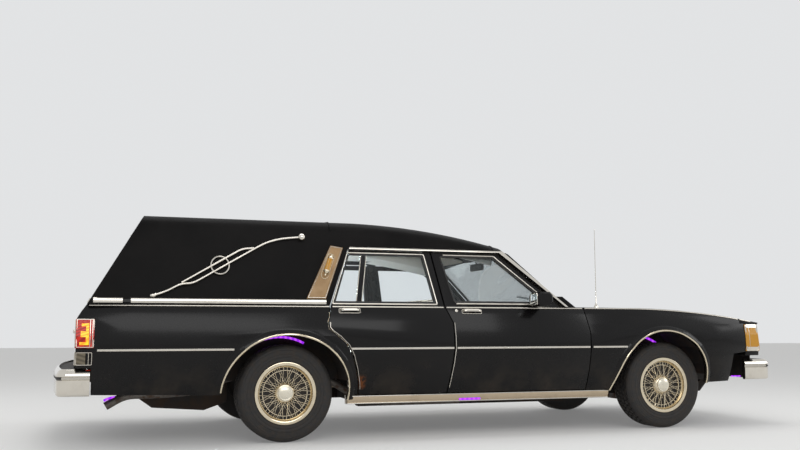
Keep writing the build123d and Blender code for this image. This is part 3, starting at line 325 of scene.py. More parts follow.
def make_steel(name, tint, dull, rust, rough):
    """Bare or plated steel with rust in patches."""
    f = Finish(name)
    patch = f.step(f.noise(24, 6), 0.45, 0.70)
    stain = f.step(f.noise(70, 5), 0.50, 0.75)
    colour = f.mix(patch, f.mix(stain, tint, dull), rust)
    return f.surface(
        Base_Color=colour, Metallic=0.85 - patch * 0.75, Roughness=rough + 0.35 * patch,
        Normal=f.bump(patch + 0.4 * f.noise(300, 3), 0.3, 0.0008))


PAINT = make_paint()
WORN = make_rusty_paint()
VINYL = make_vinyl("black_vinyl", rgb(0.0050, 0.0046, 0.0046), rgb(0.010, 0.0092, 0.0090), 0.10)
CHROME = make_metal("chrome", rgb(0.72, 0.68, 0.61), rgb(0.44, 0.39, 0.32), 0.08)
GOLD = make_metal("wheel_chrome", rgb(0.74, 0.65, 0.49), rgb(0.38, 0.30, 0.19), 0.10)
TAN = make_plain("tan_trim", rgb(0.44, 0.275, 0.13), rgb(0.37, 0.225, 0.10), 0.42, 12, 500, 0.12)
GLASS = make_glass("clear_glass", rgb(0.975, 0.990, 0.995), 0.01)
SHADED = make_glass("tinted_glass", rgb(0.62, 0.66, 0.66), 0.08)
SILL = make_metal("sill_bright", rgb(0.58, 0.47, 0.34), rgb(0.36, 0.28, 0.19), 0.15)
SATIN = make_metal("cap_satin", rgb(0.80, 0.75, 0.63), rgb(0.62, 0.55, 0.42), 0.26, 0.04)
MIRROR = make_metal("mirror_silver", rgb(0.80, 0.83, 0.84), rgb(0.60, 0.62, 0.62), 0.02, 0.03)
RED = make_lens("red_lens", rgb(0.34, 0.006, 0.002), rgb(0.12, 0.002, 0.001),
                rgb(0.85, 0.030, 0.004), 0.45)
LIT = make_lens("lit_amber", rgb(0.50, 0.20, 0.004), rgb(0.60, 0.12, 0.003),
                rgb(1.0, 0.60, 0.025), 1.25)
AMBER = make_lens("amber_lens", rgb(0.52, 0.24, 0.016), rgb(0.22, 0.080, 0.006),
                  rgb(1.0, 0.55, 0.04), 0.22, 60, "X")
# A clear lens darkened to brown: painted shade of the dark lamp housing behind it
SHADE_DIMMED_LENS = make_lens("shade_dimmed_lens", rgb(0.20, 0.165, 0.11), rgb(0.06, 0.048, 0.03),
                   rgb(1.0, 0.9, 0.7), 0.01, 60)
CLEAR = make_lens("clear_lens", rgb(0.52, 0.51, 0.46), rgb(0.16, 0.155, 0.14),
                  rgb(1.0, 0.95, 0.80), 0.04, 60)
RUBBER = make_rubber()
SEAL = make_plain("black_rubber", rgb(0.010, 0.010, 0.010), rgb(0.022, 0.020, 0.018), 0.55)
UNDER = make_plain("underbody", rgb(0.014, 0.012, 0.011), rgb(0.045, 0.027, 0.017), 0.75, 11, 120,
                   0.6)
# Near-black finish for backings, hollows and gaps: painted shade
PAINTED_SHADE = make_plain("painted_shade_backing", rgb(0.010, 0.008, 0.007), rgb(0.030, 0.021, 0.014), 0.6)
DASH = make_plain("dash_plastic", rgb(0.045, 0.038, 0.032), rgb(0.058, 0.048, 0.040), 0.52, 8,
                  700, 0.25)
CARD = make_vinyl("door_card", rgb(0.34, 0.27, 0.19), rgb(0.42, 0.34, 0.25))
LINING = make_vinyl("headliner", rgb(0.72, 0.71, 0.67), rgb(0.79, 0.78, 0.74))
CLOTH = make_cloth()
CARPET = make_carpet("carpet", rgb(0.070, 0.052, 0.036), rgb(0.16, 0.12, 0.085))
WOOD = make_wood()
ROLLER = make_steel("roller_steel", rgb(0.68, 0.68, 0.68), rgb(0.42, 0.41, 0.40),
                    rgb(0.30, 0.27, 0.24), 0.22)
IRON = make_steel("engine_iron", rgb(0.16, 0.15, 0.14), rgb(0.09, 0.08, 0.075),
                  rgb(0.15, 0.065, 0.030), 0.50)
EXHAUST = make_steel("exhaust_steel", rgb(0.16, 0.145, 0.13), rgb(0.09, 0.08, 0.07),
                     rgb(0.085, 0.040, 0.020), 0.50)
PURPLE = make_glow("diode_purple", rgb(0.30, 0.008, 0.88), rgb(0.62, 0.10, 1.0), 1.0)
DOME = make_glow("dome_lamp", rgb(0.86, 0.94, 1.0), rgb(0.74, 0.89, 1.0), 80.0)
PLATE = make_plain("blank_plate", rgb(0.60, 0.60, 0.57), rgb(0.52, 0.52, 0.49), 0.40, 9, 400, 0.1)

# Which of the frame's slots each finish fills
SLOTS = {
    "black_paint": (PAINT, WORN),
    "black_vinyl": (VINYL,),
    "chrome": (CHROME, GOLD, SATIN, SILL),
    "tan_trim": (TAN,),
    "dash_plastic": (DASH, SEAL, CARD),
    "seat_cloth": (CLOTH, CARPET, LINING),
    "deck_wood": (WOOD,),
    "clear_glass": (MIRROR,),
    "clear_lens": (CLEAR, PURPLE, DOME, PLATE),
    "amber_lens": (AMBER, LIT),
    "tyre_rubber": (RUBBER,),
    "engine_iron": (IRON,),
    "exhaust_steel": (EXHAUST,),
    "underbody": (UNDER, PAINTED_SHADE),
}
SLOT_OF = {look.name: slot for slot, looks in SLOTS.items() for look in looks}


# Modelling helpers

def piece(name, bm, body, look, stands_for=(), slot=None, crease=38):
    """Closes off a mesh as a named piece on a body; its slot, its finish's or another, is worked
    out but not used.
    """
    bmesh.ops.remove_doubles(bm, verts=bm.verts, dist=MERGE)
    bmesh.ops.recalc_face_normals(bm, faces=bm.faces)
    mesh = bpy.data.meshes.new(name)
    bm.to_mesh(mesh)
    bm.free()
    mesh.shade_smooth()
    mesh.set_sharp_from_angle(angle=math.radians(crease))
    obj = bpy.data.objects.new(name, mesh)
    scene.collection.objects.link(obj)
    mesh.materials.append(look)
    slot = slot or SLOT_OF[look.name]
    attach(obj, body)
    if stands_for:
        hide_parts(*stands_for)
    return obj


def flipped(bm):
    """A copy of a right-hand mesh for the left side."""
    left = bm.copy()
    bmesh.ops.scale(left, vec=(1, -1, 1), verts=left.verts)
    return left


def pair(name, bm, body, look, node=None, **extra):
    """The right piece and its mirror image, each on its own body."""
    for side, made in (("right", bm), ("left", flipped(bm))):
        stands_for = (f"{node}_{side}",) if node else ()
        piece(f"{name}_{side}", made, body.format(side), look, stands_for, **extra)


def twin(name, bm, look, stands_for=(), **extra):
    """Both sides' shapes as one piece on the chassis."""
    join_mesh(bm, flipped(bm))
    piece(name, bm, FIXED, look, stands_for, **extra)


def join_mesh(bm, other):
    """Adds one mesh to another."""
    carrier = bpy.data.meshes.new("carrier")
    other.to_mesh(carrier)
    other.free()
    bm.from_mesh(carrier)
    bpy.data.meshes.remove(carrier)


def dressed(node, look, body, bevel):
    """A merged copy of a node's mesh with softened edges."""
    bm = bmesh.new()
    bm.from_mesh(nodes[node].data)
    bmesh.ops.remove_doubles(bm, verts=bm.verts, dist=SKIN_MERGE)
    bmesh.ops.dissolve_limit(bm, angle_limit=FLAT, verts=bm.verts, edges=bm.edges)
    edges = [e for e in bm.edges if len(e.link_faces) == 2 and e.calc_face_angle(0) > EDGE]
    if edges:
        bmesh.ops.bevel(bm, geom=edges, offset=bevel, offset_type="OFFSET", segments=2,
                        profile=0.5, affect="EDGES", material=-1, clamp_overlap=True)
    piece(f"{node}_skin", bm, body, look, (node,), crease=32)


def block(bm, low, high, bevel=0.003, segments=2, turn=None):
    """A softened block between two corners."""
    low, high = Vector(low), Vector(high)
    made = bmesh.ops.create_cube(bm, size=1)["verts"]
    bmesh.ops.scale(bm, vec=high - low, verts=made)
    edges = list({e for v in made for e in v.link_edges})
    grown = bmesh.ops.bevel(bm, geom=edges, offset=bevel, segments=segments, profile=0.5,
                            affect="EDGES", material=-1, clamp_overlap=True)
    made = list({v for f in grown["faces"] for v in f.verts} | {v for v in made if v.is_valid})
    if turn:
        bmesh.ops.rotate(bm, matrix=turn, verts=made)
    bmesh.ops.translate(bm, vec=(low + high) / 2, verts=made)


def one_block(low, high, bevel=0.003, segments=2):
    """A mesh of one softened block."""
    bm = bmesh.new()
    block(bm, low, high, bevel, segments)
    return bm


def frames_along(path, closed):
    """Mitred frames along a path of points and outward directions."""
    frames = []
    count = len(path)
    for number, (point, out) in enumerate(path):
        ahead = path[(number + 1) % count][0] - point
        behind = point - path[number - 1][0]
        if not closed and number == 0:
            behind = ahead
        if not closed and number == count - 1:
            ahead = behind
        ahead, behind = ahead.normalized(), behind.normalized()
        tangent = (ahead + behind).normalized()
        across = out.cross(tangent).normalized()
        stretch = 1 / max(MITRE_LIMIT, across.dot(out.cross(behind).normalized()))
        lift = tangent.cross(across)
        place = Matrix((across * stretch, lift, tangent)).transposed().to_4x4()
        place.translation = point
        frames.append(place)
    return frames


def strip(path, section, closed=False, bm=None):
    """Draws a flat section along a path with mitred corners."""
    bm = bm or bmesh.new()
    frames = frames_along(path, closed)
    if closed:
        frames.append(frames[0])
    first = bm.faces.new([bm.verts.new(frames[0] @ Vector((u, v, 0))) for u, v in section])
    face = first
    for here, there in zip(frames, frames[1:]):
        grown = bmesh.ops.extrude_face_region(bm, geom=[face])["geom"]
        face = next(g for g in grown if isinstance(g, bmesh.types.BMFace))
        bmesh.ops.transform(bm, matrix=there @ here.inverted(), verts=face.verts)
    if closed:
        bmesh.ops.delete(bm, geom=[first, face], context="FACES_ONLY")
        bmesh.ops.remove_doubles(bm, verts=bm.verts, dist=MERGE)
    return bm


def flat_bar(width, height, edge=0.002, sunk=0.002):
    """A low bar with softened top edges, its foot let into the panel."""
    half = width / 2
    return [(-half, -sunk), (-half, height - edge), (edge - half, height),
            (half - edge, height), (half, height - edge), (half, -sunk)]


def half_round(width, height, sunk=0.002, steps=7):
    """A domed bar, its foot let into the panel."""
    arc = [(-math.cos(math.pi * k / steps) * width / 2, math.sin(math.pi * k / steps) * height)
           for k in range(steps + 1)]
    return [(-width / 2, -sunk)] + arc + [(width / 2, -sunk)]


def turned(profile, centre, steps, axis, side=(1, 0, 0)):
    """Spins a profile of radius and distance along an axis."""
    bm = bmesh.new()
    centre, axis, side = Vector(centre), Vector(axis).normalized(), Vector(side).normalized()
    verts = [bm.verts.new(centre + side * r + axis * a) for r, a in profile]
    edges = [bm.edges.new(ends) for ends in zip(verts, verts[1:])]
    bmesh.ops.spin(bm, geom=verts + edges, cent=centre, axis=axis, angle=math.tau, steps=steps,
                   use_merge=True)
    bmesh.ops.remove_doubles(bm, verts=bm.verts, dist=MERGE)
    return bm


def rod(bm, start, end, radius, steps=8):
    """A straight rod between two points."""
    start, end = Vector(start), Vector(end)
    axis = end - start
    turn = axis.to_track_quat("Z", "Y").to_matrix().to_4x4()
    place = Matrix.Translation((start + end) / 2) @ turn
    bmesh.ops.create_cone(bm, cap_ends=True, segments=steps, radius1=radius, radius2=radius,
                          depth=axis.length, matrix=place)


def ball(bm, centre, radius, squash=(1, 1, 1), u=20, v=12):
    place = Matrix.Translation(centre) @ Matrix.Diagonal((*squash, 1))
    bmesh.ops.create_uvsphere(bm, u_segments=u, v_segments=v, radius=radius, matrix=place)


# The right body side's surface

SIDE_TABLE = [(0.240, 0.855), (0.300, 0.875), (0.371, 0.9115), (0.455, 0.945), (0.540, 0.9695),
              (0.623, 0.985), (0.710, 0.980), (0.790, 0.965), (0.855, 0.947), (0.914, 0.925)]
TAPER_FRONT, FRONT_RADIUS = 1.056, 18.04
TAPER_REAR, REAR_RADIUS = -1.650, 15.06
WINDOW_FOOT, WINDOW_LEAN = 0.925, 0.308
WALL_FOOT, WALL_LEAN = 0.930, 0.2892
HOOD_BREAK, HOOD_RADIUS = 1.350, 7.0


def arc_drop(distance, radius):
    """How far an arc has dropped from its crown after a distance."""
    return radius - math.sqrt(radius ** 2 - distance ** 2)


def side_half(x, z):
    """Half width of the body side at a place."""
    z = min(max(z, SIDE_TABLE[0][0]), SIDE_TABLE[-1][0])
    for (z0, h0), (z1, h1) in zip(SIDE_TABLE, SIDE_TABLE[1:]):
        if z <= z1:
            half = h0 + (h1 - h0) * (z - z0) / (z1 - z0)
            break
    if x > TAPER_FRONT:
        half -= arc_drop(x - TAPER_FRONT, FRONT_RADIUS)
    if x < TAPER_REAR:
        half -= arc_drop(TAPER_REAR - x, REAR_RADIUS)
    return half


def on_side(x, z, lift=0.0):
    """A point on the right body side and its outward direction."""
    step = 0.01
    rise = (side_half(x, z + step) - side_half(x, z - step)) / (2 * step)
    run = (side_half(x + step, z) - side_half(x - step, z)) / (2 * step)
    out = Vector((-run, -1, -rise)).normalized()
    return Vector((x, -side_half(x, z), z)) + out * lift, out


def on_plane(foot, lean, x, z, lift):
    """A point on a plane that leans inwards above the belt, and its outward direction."""
    out = Vector((0, -1, lean)).normalized()
    return Vector((x, lean * (z - BELT) - foot, z)) + out * lift, out


def on_window(x, z, lift=0.0):
    """The same on the right side's window plane."""
    return on_plane(WINDOW_FOOT, WINDOW_LEAN, x, z, lift)


def on_wall(x, z, lift=0.0):
    """The same on the roof's right wall."""
    return on_plane(WALL_FOOT, WALL_LEAN, x, z, lift)


def fender_z(x):
    """Height of the fender's top edge."""
    return BELT - arc_drop(max(0, x - HOOD_BREAK), HOOD_RADIUS)


def spread(start, end, step=0.12):
    """Numbers from start to end, about a step apart."""
    count = max(1, round(abs(end - start) / step))
    return [start + (end - start) * k / count for k in range(count + 1)]


def corner_curve(before, here, after, reach):
    """Points of a rounded corner that starts and ends a reach from it."""
    start = here + (before - here).normalized() * reach
    end = here + (after - here).normalized() * reach
    return [start * (1 - t) ** 2 + here * 2 * t * (1 - t) + end * t ** 2
            for t in (0, 0.25, 0.5, 0.75, 1)]


def rounded(points, radius):
    """Rounds the corners of a closed outline."""
    corners = [Vector(point) for point in points]
    soft = []
    for number, here in enumerate(corners):
        soft += corner_curve(corners[number - 1], here, corners[(number + 1) % len(corners)],
                             radius)
    return soft


def softened(points, radius):
    """Rounds the inner corners of an open path."""
    corners = [Vector(point) for point in points]
    soft = [corners[0]]
    for before, here, after in zip(corners, corners[1:], corners[2:]):
        reach = min(radius, (here - before).length * 0.45, (after - here).length * 0.45)
        soft += corner_curve(before, here, after, reach)
    return soft + [corners[-1]]


def frame_outline(left, right, low, high, radius):
    """A rectangle with rounded corners."""
    return rounded([(left, low), (right, low), (right, high), (left, high)], radius)


def facing_back(outline, x):
    """A path of y and z on an upright face that looks to the rear."""
    return [(Vector((x, y, z)), BEHIND) for y, z in outline]


def facing_right(outline, y):
    """A path of x and z on an upright face that looks to the right."""
    return [(Vector((x, y, z)), SIDEWAYS) for x, z in outline]


def tangents(points):
    """Each point of an open line with the line's direction there."""
    last = len(points) - 1
    return [(point, (points[min(last, k + 1)] - points[max(0, k - 1)]).normalized())
            for k, point in enumerate(points)]


def straight(start, end, y=0.0, z=0.0, out=SIDEWAYS):
    """A straight path along the car."""
    return [(Vector((x, y, z)), out) for x in (start, end)]


def circle(radius, height=None, steps=24):
    """Points round an ellipse."""
    return [(radius * math.cos(math.tau * k / steps),
             (height or radius) * math.sin(math.tau * k / steps)) for k in range(steps)]


# Camera, floor and light

camera = bpy.data.objects.new("camera", bpy.data.cameras.new("camera"))
scene.collection.objects.link(camera)
scene.camera = camera
camera.data.lens = 40.5
camera.data.sensor_width = 36.0
camera.data.clip_end = 100
camera.location = (-2.405, -6.958, 0.765)
heading, pitch = math.radians(17.9), math.radians(6.5)
level = math.cos(pitch)
aim = Vector((math.sin(heading) * level, math.cos(heading) * level, math.sin(pitch)))
camera.rotation_mode = "QUATERNION"
camera.rotation_quaternion = aim.to_track_quat("-Z", "Y")

bpy.ops.mesh.primitive_plane_add(size=60, location=(0, 0, -0.001))
floor = bpy.context.object
floor.name = "floor"
floor_look = Finish("floor_pale")
floor_look.surface(Base_Color=rgb(0.66, 0.66, 0.65), Roughness=0.9,
                   Emission_Color=rgb(1.0, 1.0, 1.0))
floor.data.materials.append(floor_look.material)
floor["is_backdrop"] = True

world = bpy.data.worlds.new("studio")
scene.world = world
world.use_nodes = True
sky = world.node_tree
sky.nodes["Background"].inputs["Color"].default_value = rgb(0.84, 0.84, 0.84)
sky.nodes["Background"].inputs["Strength"].default_value = 0.62
backdrop = sky.nodes.new("ShaderNodeBackground")
backdrop.inputs["Color"].default_value = rgb(0.76, 0.77, 0.78)
backdrop.inputs["Strength"].default_value = 1.0


def seen(tree):
    """One for the rays that show a surface: straight, mirrored and through glass."""
    rays = tree.nodes.new("ShaderNodeLightPath")
    return (Wire(tree, rays.outputs["Is Camera Ray"]) + Wire(tree, rays.outputs["Is Glossy Ray"])
            + Wire(tree, rays.outputs["Is Transmission Ray"]))


blend = sky.nodes.new("ShaderNodeMixShader")
join(sky, blend.inputs[0], seen(sky))
join(sky, blend.inputs[1], Wire(sky, sky.nodes["Background"].outputs[0]))
join(sky, blend.inputs[2], Wire(sky, backdrop.outputs[0]))
join(sky, sky.nodes["World Output"].inputs["Surface"], Wire(sky, blend.outputs[0]))
floor_look.surface(Emission_Strength=seen(floor_look.tree) * 0.16)

LAMPS = [
    # name, place, aimed at, width, height, power
    ("overhead", (0.0, 0.0, 5.5), (0, 0, 0), 6.0, 3.0, 115),
    ("near_side", (-1.0, -7.5, 4.2), (0, 0, 0.7), 7.0, 2.5, 130),
    ("front_quarter", (7.0, -3.0, 3.2), (1.5, 0, 0.6), 3.0, 2.5, 60),
    ("rear_quarter", (-7.0, 2.5, 3.6), (-1.5, 0, 0.8), 3.0, 2.5, 55),
]
for name, place, target, wide, tall, power in LAMPS:
    light = bpy.data.lights.new(name, "AREA")
    light.shape = "RECTANGLE"
    light.size, light.size_y, light.energy = wide, tall, power
    lamp = bpy.data.objects.new(name, light)
    lamp.location = place
    lamp.rotation_mode = "QUATERNION"
    lamp.rotation_quaternion = (Vector(target) - Vector(place)).to_track_quat("-Z", "Y")
    scene.collection.objects.link(lamp)


# Panels: softened copies of the frame's own skins

PANELS = [
    # node, look, bevel
    ("front_fenders", PAINT, 0.004),
    ("quarter_panels", PAINT, 0.003),
    ("rear_valance", PAINT, 0.003),
    ("nose_panel", PAINT, 0.004),
    ("b_posts", PAINT, 0.002),
    ("cowl_panel", PAINT, 0.003),
    ("roof", VINYL, 0.005),
    ("rocker_sills", SILL, 0.003),
    ("landau_panels", TAN, 0.002),
    ("drip_rails", CHROME, 0.002),
    ("grille", CHROME, 0.001),
    ("dashboard", DASH, 0.012),
    ("casket_deck", WOOD, 0.003),
    ("engine", IRON, 0.012),
    ("fuel_tank", UNDER, 0.015),
    # The radiator takes the near-black finish: painted shade behind the grille
    ("radiator", PAINTED_SHADE, 0.003),
]
for node, look, bevel in PANELS:
    dressed(node, look, FIXED, bevel)
dressed("hood", PAINT, "hood", 0.004)
dressed("tail_door", PAINT, "tail_door", 0.004)
for side in ("right", "left"):
    dressed(f"front_door_{side}", PAINT, f"front_door_{side}", 0.003)
    dressed(f"rear_door_{side}", WORN, f"rear_door_{side}", 0.003)
    dressed(f"door_mirror_{side}", PAINT, f"front_door_{side}", 0.006)

# Nodes that keep their own shape
KEPT = [
    (GLASS, ["front_glass_right", "front_glass_left", "rear_glass_right", "rear_glass_left",
             "windshield"]),
    (SHADED, ["tail_glass"]),
    (RED, ["tail_lamps"]),
    # Reverse lamps: clear lens with painted shade of the housing behind it
    (SHADE_DIMMED_LENS, ["reverse_lamps"]),
    (CLEAR, ["headlamps"]),
    (AMBER, ["corner_lamps"]),
    (UNDER, ["floor_pan", "frame", "wheel_wells"]),
    (IRON, ["rear_axle", "front_suspension", "knuckle_right", "knuckle_left"]),
    (ROLLER, ["casket_rollers"]),
]
for look, names in KEPT:
    for name in names:
        obj = nodes[name]
        obj.data.materials.clear()
        obj.data.materials.append(look)

# Tyres and wire wheels

TYRE_HALF = 0.1075
TYRE_STEPS = 150
TREAD_EDGE = 0.3230
TREAD_ROWS, SLOT_EVERY = 48, 3


def tyre_profile():
    """Radius and distance from the centre line: rounded shoulders, four grooves, bead."""
    inner, outer = TRACK_HALF - TYRE_HALF, TRACK_HALF + TYRE_HALF
    back = [(0.196, inner + 0.020), (0.198, inner + 0.006), (0.212, inner + 0.001),
            (0.250, inner), (0.285, inner + 0.0010), (0.303, inner + 0.0045),
            (0.314, inner + 0.0105), (0.3205, inner + 0.018), (0.3235, inner + 0.025)]
    tread = []
    for groove in (-0.062, -0.021, 0.021, 0.062):
        at = TRACK_HALF + groove
        tread += [(0.325, at - 0.0045), (0.3175, at - 0.0035), (0.3175, at + 0.0035),
                  (0.325, at + 0.0045)]
    face = [(0.3235, outer - 0.025), (0.3205, outer - 0.018), (0.314, outer - 0.0105),
            (0.306, outer - 0.0055), (0.3045, outer - 0.0060), (0.303, outer - 0.0042),
            (0.292, outer - 0.0018), (0.2885, outer - 0.0026), (0.2865, outer - 0.0008),
            (0.262, outer), (0.2600, outer - 0.0016), (0.2575, outer - 0.0002),
            (0.240, outer - 0.0020), (0.2375, outer - 0.0036), (0.2350, outer - 0.0024),
            (0.222, outer - 0.0048), (0.2135, outer - 0.0065), (0.2100, outer - 0.0120),
            (0.200, outer - 0.0140), (0.196, outer - 0.0200)]
    return back + tread + face


def cross_slots(bm, centre):
    """Cuts staggered cross slots into the tread ribs."""
    bmesh.ops.recalc_face_normals(bm, faces=bm.faces)
    slots = []
    for face in bm.faces:
        middle = face.calc_center_median() - Vector(centre)
        radii = [math.hypot(v.co.x - centre[0], v.co.z - centre[2]) for v in face.verts]
        if min(radii) < TREAD_EDGE:
            continue
        turn = math.atan2(middle.z, middle.x) % math.tau
        rib = round(abs(middle.y) * TREAD_ROWS)
        if (int(turn / math.tau * TYRE_STEPS) + rib) % SLOT_EVERY == 0:
            slots.append(face)
    bmesh.ops.inset_individual(bm, faces=slots, thickness=0.0022, depth=-0.006)
    return bm


TRIM_RING = [(0.1980, 0.8780), (0.2080, 0.8795), (0.2095, 0.8830), (0.2078, 0.8862),
             (0.2020, 0.8880), (0.1930, 0.8870), (0.1865, 0.8848), (0.1835, 0.8800),
             (0.1828, 0.8700), (0.1812, 0.8630), (0.1790, 0.8610), (0.1775, 0.8640),
             (0.1745, 0.8650), (0.1722, 0.8620), (0.1715, 0.8560), (0.1760, 0.8520),
             (0.1880, 0.8540), (0.1950, 0.8720), (0.1980, 0.8780)]
INNER_RING = [(0.1560, 0.8535), (0.1545, 0.8575), (0.1500, 0.8580), (0.1480, 0.8545),
              (0.1520, 0.8515), (0.1560, 0.8535)]
DISC = [(0.0, 0.8485), (0.060, 0.8485), (0.120, 0.8440), (0.170, 0.8440), (0.1850, 0.8500),
        (0.1930, 0.8600), (0.1955, 0.8700), (0.1955, 0.6960), (0.1840, 0.6960),
        (0.1820, 0.7300), (0.1750, 0.7430), (0.0500, 0.7430), (0.0310, 0.7460),
        (0.0310, 0.7930), (0.0, 0.7930)]
HUB = [(0.0, 0.8470), (0.0720, 0.8475), (0.0735, 0.8500), (0.0720, 0.8540), (0.0640, 0.8600),
       (0.0600, 0.8680), (0.0570, 0.8700), (0.0530, 0.8725), (0.0, 0.8725)]
CAP = [(0.0, 0.8715), (0.0500, 0.8715), (0.0508, 0.8750), (0.0490, 0.8790), (0.0450, 0.8805),
       (0.0425, 0.8797), (0.0395, 0.8812), (0.0250, 0.8850), (0.0120, 0.8865), (0.0, 0.8868)]
SPOKE_LAYERS = [
    # hub radius, hub distance, rim radius, rim distance, sweep in degrees, shift, radius
    (0.0630, 0.8610, 0.1755, 0.8635, 19.0, 0.0, 0.0023),
    (0.0700, 0.8520, 0.1530, 0.8555, 24.0, 0.5, 0.0015),
]
SPOKE_PAIRS = 16
CROSSING_GAP, FOOT_SHARE = 0.0008, 0.12
RING_BARS = 40


def wire_spokes(axle_x):
    """Crossing wire spokes in layers, with short bars between the two rings."""
    bm = bmesh.new()

    def at(radius, out, turn):
        return (axle_x + radius * math.cos(turn), -out, AXLE_Z + radius * math.sin(turn))

    for r0, a0, r1, a1, sweep, shift, thick in SPOKE_LAYERS:
        for number in range(SPOKE_PAIRS):
            turn = math.tau * (number + shift) / SPOKE_PAIRS
            for lean in (math.radians(-sweep), math.radians(sweep)):
                foot = at(r0, a0 + CROSSING_GAP * (lean > 0), turn + lean * FOOT_SHARE)
                rod(bm, foot, at(r1, a1, turn + lean), thick, 6)
    for number in range(RING_BARS):
        turn = math.tau * (number + 0.5) / RING_BARS
        rod(bm, at(0.1535, 0.8560, turn), at(0.1750, 0.8590, turn), 0.0016, 5)
    return bm


for axle, axle_x in (("rear", REAR_AXLE), ("front", FRONT_AXLE)):
    centre = (axle_x, 0, AXLE_Z)
    body = axle + "_wheel_{}"

    def wheel_part(profile, steps):
        return turned(profile, centre, steps, axis=SIDEWAYS)

    tyre = cross_slots(wheel_part(tyre_profile(), TYRE_STEPS), centre)
    pair(f"{axle}_tyre_rubber", tyre, body, RUBBER, f"{axle}_tyre")
    # The disc sits in the chrome slot but takes the near-black finish: painted shade behind the
    # spokes
    pair(f"{axle}_wheel_disc", wheel_part(DISC, 64), body, PAINTED_SHADE, f"{axle}_wheel", slot="chrome")
    pair(f"{axle}_trim_ring", wheel_part(TRIM_RING, 96), body, GOLD)
    pair(f"{axle}_inner_ring", wheel_part(INNER_RING, 72), body, GOLD)
    pair(f"{axle}_spokes", wire_spokes(axle_x), body, GOLD)
    pair(f"{axle}_hub", wheel_part(HUB, 40), body, GOLD)
    pair(f"{axle}_cap", wheel_part(CAP, 40), body, SATIN)


# Chrome lines along the side

def side_path(points, lift=0.0):
    return [on_side(x, z, lift) for x, z in points]


def level_line(start, end, z, lift=0.0):
    return side_path([(x, z) for x in spread(start, end)], lift)


def upright_line(x, low, high, lift, step=0.04):
    return side_path([(x, z) for z in spread(low, high, step)], lift)


MOULDING = [(-0.0085, -0.002), (-0.0085, 0.006), (-0.0060, 0.0095), (0.0, 0.0108),
            (0.0060, 0.0095), (0.0085, 0.006), (0.0085, -0.002)]
BELT_LINE = half_round(0.010, 0.006)
MOULDING_Z, BELT_LINE_Z = 0.623, 0.9065
SIDE_LINES = [
    # name, body, moulding ends, belt line ends
    ("quarter", FIXED, (-2.461, -1.613), (-2.520, -0.968)),
    ("rear_door", "rear_door_{}", (-0.820, -0.077), (-0.944, -0.132)),
    ("front_door", "front_door_{}", (-0.052, 1.003), (-0.110, 0.975)),
    ("fender", FIXED, (1.030, 1.321), None),
]
for name, body, moulding, belt in SIDE_LINES:
    pair(f"{name}_moulding", strip(level_line(*moulding, MOULDING_Z), MOULDING), body, CHROME)
    if belt:
        pair(f"{name}_belt_line", strip(level_line(*belt, BELT_LINE_Z), BELT_LINE), body, CHROME)
for name, start, end, step in (("fender", 0.996, 2.385, 0.06), ("nose", 2.400, 2.505, 0.03)):
    edge = side_path([(x, fender_z(x) - 0.0065) for x in spread(start, end, step)])
    pair(f"{name}_top_line", strip(edge, BELT_LINE), FIXED, CHROME)

# Wheel arches: rolled flare and bright lip, drawn from rear to front
FLARE = [(-0.004, -0.004), (-0.006, 0.0125), (0.000, 0.0150), (0.010, 0.0135), (0.024, 0.0075),
         (0.036, 0.0020), (0.042, -0.004)]
LIP = [(-0.006, -0.012), (-0.007, 0.0150), (-0.004, 0.0180), (0.002, 0.0180), (0.005, 0.0150),
       (0.005, -0.004)]


def arch(centre, half_length, height, start, end, steps):
    """Points over a wheel opening from one angle to another."""
    angles = [math.radians(start + (end - start) * k / steps) for k in range(steps + 1)]
    return [(centre + half_length * math.cos(t), AXLE_Z + height * math.sin(t)) for t in angles]


REAR_ARCH = arch(REAR_AXLE, 0.436, 0.394, 177, -7, 44)
FRONT_FOOT = [(1.216, 0.302), (1.247, 0.384)]
FRONT_ARCH = FRONT_FOOT + arch(FRONT_AXLE - 0.025, 0.416, 0.416, 160, 2, 38)
for name, opening in (("rear", REAR_ARCH), ("front", FRONT_ARCH)):
    pair(f"{name}_arch_flare", strip(side_path(opening), FLARE), FIXED, PAINT, crease=60)
    pair(f"{name}_arch_lip", strip(side_path(opening), LIP), FIXED, GOLD)

# Rocker panel: top and bottom beads and a purple diode bar
ROCKER_REAR, ROCKER_FRONT = -0.818, 1.216
for name, z, section in (("top", 0.2955, half_round(0.008, 0.006)),
                         ("low", 0.2460, half_round(0.010, 0.007))):
    pair(f"rocker_{name}_bead", strip(level_line(ROCKER_REAR, ROCKER_FRONT, z), section), FIXED,
         CHROME)
pair("rocker_diodes", strip(level_line(0.009, 0.171, 0.2580), flat_bar(0.010, 0.007)), FIXED,
     PURPLE)


# Window openings

REAR_WINDOW = [(-0.802, 1.274), (-0.920, 0.944), (-0.196, 0.944), (-0.256, 1.274)]
FRONT_WINDOW = [(-0.112, 1.274), (-0.039, 0.952), (0.680, 0.952), (0.296, 1.274)]


def grown(points, distance):
    """A closed outline moved outwards, whichever way its points run."""
    area = sum(a[0] * b[1] - b[0] * a[1] for a, b in zip(points, points[1:] + points[:1]))
    sign = 1 if area > 0 else -1
    moved = []
    for number, point in enumerate(points):
        here = Vector(point)
        back = (here - Vector(points[number - 1])).normalized()
        ahead = (Vector(points[(number + 1) % len(points)]) - here).normalized()
        n0, n1 = Vector((back.y, -back.x)) * sign, Vector((ahead.y, -ahead.x)) * sign
        share = (n0 + n1).normalized()
        moved.append(tuple(here + share * distance / max(CORNER_LIMIT, share.dot(n0))))
    return moved


def window_loop(points, distance, section, surface=on_window, lift=0.0, corner=0.012):
    outline = rounded(grown(points, distance), corner)
    return strip([surface(x, z, lift) for x, z in outline], section, closed=True)


